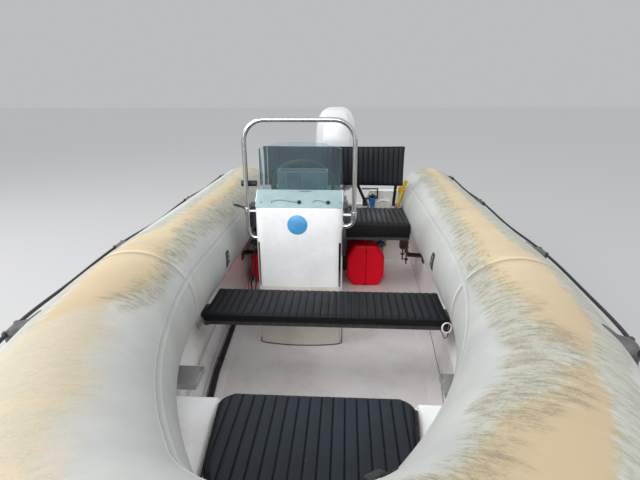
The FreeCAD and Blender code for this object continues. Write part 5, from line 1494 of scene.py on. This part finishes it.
# Deck: low side steps with a cove up to the moulding, a bead along each side, and sealant at the foot.
DECK_EDGE = [(-1.606, 0.652), (-0.700, 0.628), (0.100, 0.578), (0.740, 0.500)]
WALL_AFT, WALL_FORE = -1.540, 0.736
WALL_XS = [WALL_AFT + (WALL_FORE - WALL_AFT) * k / 48.0 for k in range(49)]
bm, beads, caulk = bmesh.new(), bmesh.new(), bmesh.new()
for side in (1, -1):
    rows, ridge, foot = [], [], []
    for x in WALL_XS:
        edge = between(DECK_EDGE, x)
        inset = between([(-1.6, 0.062), (-0.9, 0.062), (-0.35, 0.088), (0.3, 0.070), (0.74, 0.062)], x)
        step = ((-inset, 0.0300), (-inset + 0.0015, 0.0335), (-inset + 0.0050, 0.0352), (-0.018, 0.0368),
                (-0.008, 0.0400), (0.0005, 0.0490), (0.0035, 0.0600), (0.0060, 0.0600), (0.0030, 0.0300))
        rows.append([Vector((x, side * (edge + y), z)) for y, z in step])
        if x > -0.16:
            share = min(1.0, (x + 0.16) / 0.10, (0.737 - x) / 0.004)
            ring = []
            for z, out in ((0.318, 0.0), (0.296, 0.0065), (0.276, 0.0150), (0.262, 0.0195), (0.248, 0.0200),
                           (0.232, 0.0175), (0.205, 0.0085), (0.180, 0.0)):
                place = touch(walls, (x, 0, z), (0, side, 0))[0]
                ring.append(place - Vector((0, side * (out * share + 0.0002), 0)))
            ring += [touch(walls, (x, 0, 0.182), (0, side, 0))[0] + Vector((0, side * 0.002, 0)),
                     touch(walls, (x, 0, 0.316), (0, side, 0))[0] + Vector((0, side * 0.002, 0))]
            ridge.append(ring)
        foot.append(Vector((x, side * (edge - 0.0005), 0.0485)))
    sweep(bm, rows)
    sweep(beads, ridge)
    bead(caulk, foot, 0.0016, 6, 0.01, closed=False)
keep("deck_steps", bm, DECK_COAT)
keep("moulding_beads", beads, GELCOAT)
keep("foot_sealant", caulk, SEALANT)

# Bow: raised blocks beside the lid in a brighter gelcoat, painted light against the tube's shade, and a dark
# strip in the gap round the lid, dirt and painted shade.
LID_EDGE = [(0.760, 0.336), (1.090, 0.300), (1.330, 0.190)]
BLOCK_XS = [0.7405, 0.7418, 0.7450, 0.7500, 0.7560, 0.780] + [0.80 + 0.04 * j for j in range(12)]
BLOCK_XS += [1.262, 1.272, 1.277]
BLOCK_TALLS = [0.0075, 0.0135, 0.0195, 0.0225, 0.0232, 0.0240] + [0.0240] * 12 + [0.0215, 0.0150, 0.008]
bm = bmesh.new()
for side in (1, -1):
    rows = []
    for x, tall in zip(BLOCK_XS, BLOCK_TALLS):
        inner = between(LID_EDGE, x) + 0.010
        centre = collar_at(turn_at(x), 1)[0]
        outer = min(centre.y - 0.098, between([(0.74, 0.56), (0.9, 0.53), (1.3, 0.36)], x))
        block = ((inner, 0.0), (inner, min(tall, 0.0100)), (inner + 0.0020, min(tall, 0.0165)),
                 (inner + 0.0070, min(tall, 0.0215)), (inner + 0.0140, tall), (outer - 0.020, tall + 0.0008),
                 (outer, tall), (outer + 0.002, 0.0))
        rows.append([Vector((x, side * y, 0.3632 + z)) for y, z in block])
    sweep(bm, rows)
keep("bow_blocks", bm, LIT_BLOCK_COAT)
# A dark strip along the gap round the lid: dirt and painted shade in the gap.
line = [Vector((min(x, 1.300), y if x < 1.3 else between(LID_EDGE, 1.3), 0.3645)) for x, y in LID_EDGE]
line = [Vector((0.7530, 0.338, 0.3645))] + [Vector((p.x, p.y + 0.0055, p.z)) for p in line]
whole = [Vector((p.x, -p.y, p.z)) for p in reversed(line)] + line
fine = []
for a, b in zip(whole, whole[1:]):
    fine += [a + (b - a) * k / 20 for k in range(20)]
bm = bmesh.new()
plate_line(bm, fine + [whole[-1]], [Z_AXIS] * (len(fine) + 1), 0.0046, 0.0010)
keep("lid_gap_dirt_and_shade", bm, SEALANT)

# Clips on the duct along the starboard foot.
bm = bmesh.new()
for x in (-0.60, -0.28, 0.02, 0.33, 0.62):
    y = -(between(DECK_EDGE, x) - 0.022)
    add_ring(bm, (x, y, 0.0455), (1, 0, 0), 0.0162, 0.0018, steps=24, sides=8, arc=math.pi, start=(0, 1, 0))
keep("duct_clips", bm, BLACK_PLASTIC)

# Bench: back panel and saddles behind the pad, rusted hinge plate and bolts under the port end.
bm = bmesh.new()
add_block(bm, (low_r.x - 0.0040, low_r.y + 0.014, low_r.z + 0.014),
          (low_r.x + 0.0010, high_r.y - 0.014, high_r.z - 0.014), 0.0015)
keep("back_panel", bm, BOARD, body="seat_back")
bm = bmesh.new()
arms = skin_of("backrest_arms")
for side in (1, -1):
    for share in (0.800, 0.870, 0.935):
        for guess in (0.46, 0.16):
            hit = arms.ray_cast(Vector((-1.5, side * guess, share)), Vector((1, 0, 0)))
            if hit[0] is not None and hit[0].x < -1.20:
                here = Vector((low_r.x - 0.0113, side * guess, share))
                add_ring(bm, here, (0, 0, 1), 0.0118, 0.0016, steps=16, sides=8, arc=math.pi,
                         start=(0, 1, 0))
                for way in (-1, 1):
                    add_screw(bm, here + Vector((0.0076, way * 0.019, 0)), (-1, 0, 0), 0.0030, 0.0018)
keep("arm_saddles", bm, STEEL, body="seat_back")
bm = bmesh.new()
add_block(bm, (-0.886, 0.466, 0.378), (-0.882, 0.522, 0.4415), 0.0010)
add_block(bm, (-0.884, 0.470, 0.376), (-0.856, 0.474, 0.436), 0.0010)
add_block(bm, (-0.884, 0.505, 0.350), (-0.862, 0.509, 0.440), 0.0010)
add_rod(bm, (-0.872, 0.490, 0.292), (-0.872, 0.490, 0.4415), 0.0052, segments=12)
add_rod(bm, (-0.866, 0.516, 0.266), (-0.866, 0.516, 0.4415), 0.0048, segments=12)
for x, y, z in ((-0.872, 0.490, 0.336), (-0.872, 0.490, 0.378), (-0.866, 0.516, 0.300),
                (-0.866, 0.516, 0.352)):
    socket_head(bm, (x, y, z), (0, 0, -1), 0.0095, 0.0085)
for side in (1, -1):
    for x in (-0.912, -0.870):
        socket_head(bm, (x, side * 0.5245, 0.415), (0, side, 0), 0.0055, 0.0050)
        socket_head(bm, (x, side * 0.5245, 0.385), (0, side, 0), 0.0055, 0.0050)
keep("rusted_bolts", bm, RUSTED)
frame_mesh = NODES["bench_frame"].data
frame_mesh.materials.append(RUSTED)
for face in frame_mesh.polygons:
    if abs(face.center.y) > 0.470 and face.center.z < 0.441:
        face.material_index = 1

# Fuel tanks: parting line, handle and filler fittings.
bm, red = bmesh.new(), bmesh.new()
for node, seam in (("fuel_tank_port", 0.248), ("fuel_tank_starboard", -0.467)):
    # The parting line is a dark red bead: painted shade in the tank's moulded groove.
    loop = cut_lines(node, (0, seam, 0), (0, 1, 0))[0]
    bead(bm, loop, 0.0024, 6, 0.006, up=(0, 1, 0))
    low_t, high_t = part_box(node)
    mid = (low_t.y + high_t.y) / 2
    top = high_t.z
    handle = [Vector((-1.215, mid, top - 0.004)), Vector((-1.205, mid, top + 0.020)),
              Vector((-1.180, mid, top + 0.031)), Vector((-1.110, mid, top + 0.031)),
              Vector((-1.085, mid, top + 0.020)), Vector((-1.075, mid, top - 0.004))]
    bead(red, read_line(handle), 0.0105, 14, 0.004, closed=False, up=(0, 1, 0))
keep("tank_seams", bm, SEAM_SHADE_RED)
keep("tank_handles", red, TANK_RED)
bm, brass = bmesh.new(), bmesh.new()
CAP_AXIS = Vector((0, 0.62, 0.78)).normalized()
caps = skin_of("tank_caps")
for side, tank in ((1, "fuel_tank_port"), (-1, "fuel_tank_starboard")):
    low_t, high_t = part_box(tank)
    outer = high_t.y if side > 0 else -low_t.y
    axis = Vector((0, side * CAP_AXIS.y, CAP_AXIS.z))
    base = Vector((-1.062, side * (outer - 0.040), 0.3263 - 0.020))
    far = touch(caps, base + axis * 0.15, -axis)[0]
    wide = 0.024
    for k in range(20):
        a = math.tau * k / 20
        around = (X_AXIS * math.cos(a) + axis.cross(X_AXIS) * math.sin(a))
        add_rod(bm, far - axis * 0.015 + around * wide, far - axis * 0.002 + around * wide, 0.0016,
                segments=6)
    add_ring(bm, far, axis, 0.012, 0.0016, steps=28, sides=8)
    add_turned(brass, far, axis, [(0, -0.001), (0.0075, -0.001), (0.0075, 0.005), (0.0045, 0.007),
                                  (0.0045, 0.015), (0.0030, 0.017), (0, 0.017)], 18)
keep("cap_ribs", bm, CAP_NAVY)
keep("cap_fittings", brass, BRASS)

# Fuel filter head and clips on its hose.
bm = bmesh.new()
add_turned(bm, (-1.5127, 0.310, 0.5845), (0, 0, 1),
           [(0, 0), (0.0205, 0), (0.0215, 0.003), (0.0215, 0.016), (0.017, 0.020), (0.006, 0.022),
            (0.006, 0.028), (0, 0.028)], 28)
for way in (-1, 1):
    add_rod(bm, (-1.5127, 0.310 + way * 0.018, 0.595), (-1.5127, 0.310 + way * 0.034, 0.595), 0.0050,
            segments=12)
keep("filter_head", bm, BLACK_PAINT)
bm = bmesh.new()
for place, axis in (((-1.2475, 0.3003, 0.3600), (-0.19, 0.04, 0.98)),
                    ((-1.5122, 0.3100, 0.4965), (-0.05, 0, 1))):
    add_ring(bm, place, axis, 0.0046, 0.0011, steps=24, sides=8)
for z in (0.512, 0.576):
    add_ring(bm, (-1.5127, 0.310, z), (0, 0, 1), 0.0202, 0.0010, steps=36, sides=8)
keep("hose_clips", bm, STEEL)

# Staff collars, a thin bent frame, an arched white hose, and transom fittings.
STAFF_LOW, STAFF_HIGH = Vector((-1.420, 0.364, 0.046)), Vector((-1.372, 0.556, 0.752))
STAFF_WAY = (STAFF_HIGH - STAFF_LOW).normalized()
bm = bmesh.new()
for share in (0.02, 0.60, 0.985):
    here = STAFF_LOW + (STAFF_HIGH - STAFF_LOW) * share
    add_rod(bm, here - STAFF_WAY * 0.012, here + STAFF_WAY * 0.012, 0.0146, segments=24)
here = STAFF_LOW + (STAFF_HIGH - STAFF_LOW) * 0.90
add_block(bm, here + Vector((-0.006, -0.040, -0.022)), here + Vector((0.006, -0.009, 0.022)), 0.004)
keep("staff_collars", bm, STAFF)
bm = bmesh.new()
frame_line = [Vector(p) for p in ((-1.5365, 0.222, 0.650), (-1.5365, 0.352, 0.650), (-1.5365, 0.352, 0.572),
                                  (-1.5365, 0.246, 0.572), (-1.5365, 0.246, 0.540))]
for a, b in zip(frame_line, frame_line[1:]):
    add_rod(bm, a, b, 0.0058, segments=14)
    bmesh.ops.create_uvsphere(bm, u_segments=14, v_segments=8, radius=0.0058, matrix=Matrix.Translation(b))
add_block(bm, (-1.5460, 0.232, 0.505), (-1.5400, 0.262, 0.560), 0.002)
add_rod(bm, (-1.5430, 0.246, 0.545), (-1.5365, 0.246, 0.545), 0.0050, segments=12)
add_block(bm, (-1.5460, -0.150, 0.330), (-1.5400, 0.150, 0.500), 0.003)
keep("transom_black_parts", bm, BLACK_PAINT)
bm = bmesh.new()
WHITE_HOSE = [(0.322, 0.470), (0.330, 0.512), (0.352, 0.542), (0.395, 0.556), (0.440, 0.548),
              (0.470, 0.520), (0.482, 0.480), (0.484, 0.440)]
rim = read_line([Vector((-1.5385, y, z)) for y, z in WHITE_HOSE])
bead(bm, rim, 0.0078, 12, 0.005, closed=False, up=(1, 0, 0))
keep("white_hose", bm, GELCOAT)
bm = bmesh.new()
for y in (-0.115, 0.115):
    for z in (0.365, 0.465):
        socket_head(bm, (-1.5402, y, z), (1, 0, 0), 0.0085, 0.009)
for y in (-0.45, 0.45):
    for z in (0.215, 0.285):
        add_turned(bm, (-1.6060, y, z), (-1, 0, 0),
                   [(0, 0), (0.016, 0), (0.016, 0.003), (0.006, 0.004), (0, 0.004)], 24)
    add_ring(bm, (-1.6200, y, 0.250), (0, 1, 0), 0.035, 0.0052, steps=24, sides=12, arc=math.pi,
             start=(0, 0, 1))
    for z in (0.215, 0.285):
        add_rod(bm, (-1.6060, y, z), (-1.6200, y, z), 0.0052, segments=12)
add_ring(bm, (-1.5455, -0.400, 0.070), (1, 0, 0), 0.0185, 0.0040, steps=36, sides=8)
add_ring(bm, (-1.6062, -0.400, 0.070), (1, 0, 0), 0.0185, 0.0040, steps=36, sides=8)
keep("transom_fittings", bm, STEEL)

# End caps of the tube cones and the inflation valves.
bm = bmesh.new()
for side in (1, -1):
    add_turned(bm, (STERN - CONE + 0.006, side * HALF, LEVEL), (-1, 0, 0),
               [(0.070, -0.004), (0.0770, 0.000), (0.0765, 0.010), (0.068, 0.020), (0.045, 0.027),
                (0.018, 0.030), (0, 0.030)], 40)
keep("cone_caps", bm, BLACK_RUBBER)
bm = bmesh.new()
for side in (1, -1):
    for x, turn, angle in ((-1.300, None, 186.0), (None, 66.0, 172.0)):
        centre, _, outer, up, radius = tube_axes(x, side, turn)
        a = math.radians(angle)
        way = outer * math.cos(a) + up * math.sin(a)
        add_turned(bm, centre + way * (radius - 0.001), way,
                   [(0, 0), (0.0260, 0), (0.0255, 0.0030), (0.0190, 0.0040), (0.0175, 0.0035),
                    (0.0165, 0.0060), (0.0150, 0.0070), (0, 0.0074)], 32)
keep("inflation_valves", bm, PATCH_RUBBER)

# Shackle ring through the bow eye.
bm = bmesh.new()
add_ring(bm, (1.5778, 0, 0.1480), (0.10, 0, 1), 0.0245, 0.0040, steps=40, sides=12)
keep("bow_ring", bm, STEEL)

# Cowl as one smooth moulding: share of its height, front, back and half width.
COWL_ROWS = [(0.0, -1.650, -2.150, 0.166), (0.28, -1.648, -2.156, 0.172), (0.62, -1.656, -2.152, 0.168),
             (0.80, -1.668, -2.136, 0.156), (0.91, -1.694, -2.106, 0.134), (0.97, -1.730, -2.064, 0.106),
             (1.0, -1.780, -2.010, 0.068)]
COWL_PLAN = [(0.0, 0.52), (0.05, 0.78), (0.16, 0.96), (0.4, 1.0), (0.72, 0.98), (0.93, 0.86), (1.0, 0.6)]


def rounded(points, steps, closed):
    """A smooth line through points, drawn on in steps between each two."""
    count, out = len(points), []
    for i in range(count if closed else count - 1):
        near = [points[(i + k) % count if closed else max(0, min(count - 1, i + k))] for k in (-1, 0, 1, 2)]
        a, b, c, d = near
        for j in range(steps):
            t = j / steps
            out.append(0.5 * (2 * b + (c - a) * t + (2 * a - 5 * b + 4 * c - d) * t * t
                              + (3 * b - a - 3 * c + d) * t ** 3))
    return out if closed else out + [points[-1]]


low_m, high_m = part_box("motor_cowl")
levels = rounded([Vector(row) for row in COWL_ROWS], 7, False)
rows = []
for share, front, back, half in levels:
    z = low_m.z + (high_m.z - low_m.z) * share
    plan = [Vector((front + (back - front) * run, half * wide, z)) for run, wide in COWL_PLAN]
    plan += [Vector((p.x, -p.y, z)) for p in reversed(plan)]
    rows.append(rounded(plan, 8, True))
crown = sum(rows[-1], Vector()) / len(rows[-1])
for share, rise in ((0.8, 0.0020), (0.55, 0.0034), (0.3, 0.0042), (0.1, 0.0045)):
    rows.append([crown + (p - crown) * share + Vector((0, 0, rise)) for p in rows[len(levels) - 1]])
bm = bmesh.new()
sweep(bm, rows)
keep("cowl_shell", bm, COWL, body="motor", sharp=50, replaces=("motor_cowl",))

# Motor: joint of the cowl, latches, air slots, side bolts, anodes and intake.
cowl = skin_of("cowl_shell")
bm = bmesh.new()
for height, lean, radius in ((0.905, 0.055, 0.0019), (0.735, -0.02, 0.0014)):
    loop = cut_lines("cowl_shell", ((low_m.x + high_m.x) / 2, 0, height), (lean, 0, 1))[0]
    bead(bm, loop, radius, 6, 0.006)
keep("cowl_seams", bm, SEAM_GREY, body="motor")
bm = bmesh.new()
for start, way in (((-1.0, 0, 0.790), (-1, 0, 0)), ((-3.0, 0, 0.800), (1, 0, 0))):
    place, normal = touch(cowl, start, way)
    turn = aim(normal)
    add_block(bm, place - Vector((0.016, 0.026, 0.004)), place + Vector((0.016, 0.026, 0.006)), 0.0025, turn)
for side in (1, -1):
    for k in range(5):
        place, normal = touch(cowl, (low_m.x + 0.120, side * 0.5, 1.085 + 0.016 * k), (0, -side, 0))
        add_block(bm, place - Vector((0.040, 0.0016, 0.0035)), place + Vector((0.040, 0.0016, 0.0035)),
                  0.0010)
keep("cowl_latches", bm, BLACK_PLASTIC, body="motor")
leg = skin_of("motor_leg")
bm = bmesh.new()
for side in (1, -1):
    for x, z in ((-1.790, 0.560), (-1.930, 0.560), (-1.860, 0.300), (-1.860, 0.050), (-1.880, -0.120)):
        hit = leg.ray_cast(Vector((x, side * 0.6, z)), Vector((0, -side, 0)))
        if hit[0] is not None:
            socket_head(bm, hit[0], (0, side, 0), 0.0058, 0.005)
case = skin_of("gearcase")
for side in (1, -1):
    for k in range(5):
        hit = case.ray_cast(Vector((-1.760 - 0.012 * k, side * 0.4, -0.300)), Vector((0, -side, 0)))
        if hit[0] is not None:
            add_block(bm, hit[0] - Vector((0.0022, 0.0014, 0.016)), hit[0] + Vector((0.0022, 0.0014, 0.016)),
                      0.0008)
keep("leg_bolts", bm, BLACK_PAINT, body="motor")
bm = bmesh.new()
add_block(bm, (-2.040, -0.020, -0.2120), (-1.985, 0.020, -0.1900), 0.004)
for side in (1, -1):
    spot = leg.ray_cast(Vector((-1.960, side * 0.6, 0.150)), Vector((0, -side, 0)))
    if spot[0] is not None:
        add_block(bm, spot[0] - Vector((0.030, 0.004, 0.045)), spot[0] + Vector((0.030, 0.004, 0.045)),
                  0.003)
keep("anodes", bm, STEEL, body="motor")

# Clamp screws of the bracket, with their cross bars.
bm = bmesh.new()
bracket_skin = skin_of("motor_bracket")
for side in (1, -1):
    hit = bracket_skin.ray_cast(Vector((-1.0, side * 0.090, 0.455)), Vector((-1, 0, 0)))
    if hit[0] is not None:
        here = hit[0]
        add_turned(bm, here, (1, 0, 0), [(0, 0), (0.016, 0), (0.016, 0.006), (0.009, 0.010), (0.009, 0.026),
                                         (0, 0.027)], 20)
        add_rod(bm, here + Vector((0.020, 0, -0.034)), here + Vector((0.020, 0, 0.034)), 0.0042, segments=12)
keep("clamp_screws", bm, STEEL)


# Propeller: three cupped blades on a through-hub.
def propeller():
    low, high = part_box("propeller")
    hub_low, hub_high = low.x, high.x
    level = -0.335
    bm = bmesh.new()
    add_turned(bm, (hub_low, 0, level), (1, 0, 0),
               [(0.020, 0.004), (0.026, 0.0), (0.0315, 0.0), (0.0345, 0.010), (0.034, 0.050),
                (0.0325, hub_high - hub_low - 0.004), (0.030, hub_high - hub_low),
                (0.0, hub_high - hub_low)], 48)
    add_turned(bm, (hub_low - 0.004, 0, level), (1, 0, 0),
               [(0, 0), (0.009, 0.002), (0.0125, 0.012), (0.013, 0.030), (0, 0.030)], 24)
    middle = (hub_low + hub_high) / 2
    tip = 0.127
    for k in range(3):
        rows = []
        base = math.tau * k / 3 + math.pi / 2
        for i in range(13):
            s = i / 12.0
            r = 0.028 + (tip - 0.028) * s
            chord = 0.052 + 0.066 * math.sin(math.pi * min(1.0, s * 0.78 + 0.10)) - 0.030 * s
            chord *= 1.0 if s < 0.7 else math.sqrt(max(0.02, 1 - ((s - 0.7) / 0.305) ** 2))
            pitch = math.atan(0.27 / (math.tau * max(r, 0.045)))
            thick = 0.0075 - 0.0050 * s
            skew = 0.25 * s * s
            row = []
            for j in range(16):
                b = math.tau * j / 16
                c, t = math.cos(b) * 0.5, math.sin(b) * 0.5
                along = c * chord
                off = t * thick + 0.10 * chord * (c * c - 0.1)
                swing = base + skew + along * math.cos(pitch) / r
                x = middle + along * math.sin(pitch) - off * math.cos(pitch)
                x = min(hub_high + 0.004, max(hub_low - 0.006, x))
                row.append(Vector((x, r * math.cos(swing), level + r * math.sin(swing))))
            rows.append(row)
        sweep(bm, rows)
    keep("propeller_blades", bm, MOTOR_GREY, body="prop", replaces=("propeller",))


propeller()


# Floor at the waterline, soft light from an overcast sky and a pale background.
floor_mesh = bmesh.new()
bmesh.ops.create_grid(floor_mesh, x_segments=1, y_segments=1, size=40)
floor_data = bpy.data.meshes.new("Floor")
floor_mesh.to_mesh(floor_data)
floor_mesh.free()
floor = bpy.data.objects.new("Floor", floor_data)
scene.collection.objects.link(floor)
floor_data.materials.append(shader_of("pale_floor", (0.50, 0.50, 0.50), 0.9)[0])


def sky_lamp(name, place, target, size, power):
    data = bpy.data.lights.new(name, "AREA")
    data.size = size
    data.energy = power
    lamp = bpy.data.objects.new(name, data)
    lamp.location = place
    lamp.rotation_euler = (Vector(target) - Vector(place)).to_track_quat("-Z", "Y").to_euler()
    scene.collection.objects.link(lamp)


sky_lamp("SkyAbove", (0.5, -4.6, 4.6), (0, 0, 0.3), 4.0, 170.0)
sky_lamp("SkyAhead", (6.2, -1.6, 2.9), (-0.5, 0, 0.3), 4.0, 370.0)


def pale_world():
    """Even grey-white sky light, seen as a pale background."""
    world = bpy.data.worlds.new("World")
    scene.world = world
    world.use_nodes = True
    nodes, links = world.node_tree.nodes, world.node_tree.links
    sky = nodes["Background"]
    sky.inputs["Color"].default_value = (0.97, 0.98, 1.0, 1.0)
    sky.inputs["Strength"].default_value = 0.90
    seen = nodes.new("ShaderNodeBackground")
    seen.inputs["Color"].default_value = (0.50, 0.51, 0.52, 1.0)
    seen.inputs["Strength"].default_value = 1.0
    path = nodes.new("ShaderNodeLightPath")
    either = maths(nodes, links, "MAXIMUM", path.outputs["Is Camera Ray"],
                   path.outputs["Is Transmission Ray"])
    mix = nodes.new("ShaderNodeMixShader")
    links.new(either, mix.inputs["Fac"])
    links.new(sky.outputs["Background"], mix.inputs[1])
    links.new(seen.outputs["Background"], mix.inputs[2])
    links.new(mix.outputs["Shader"], nodes["World Output"].inputs["Surface"])


pale_world()
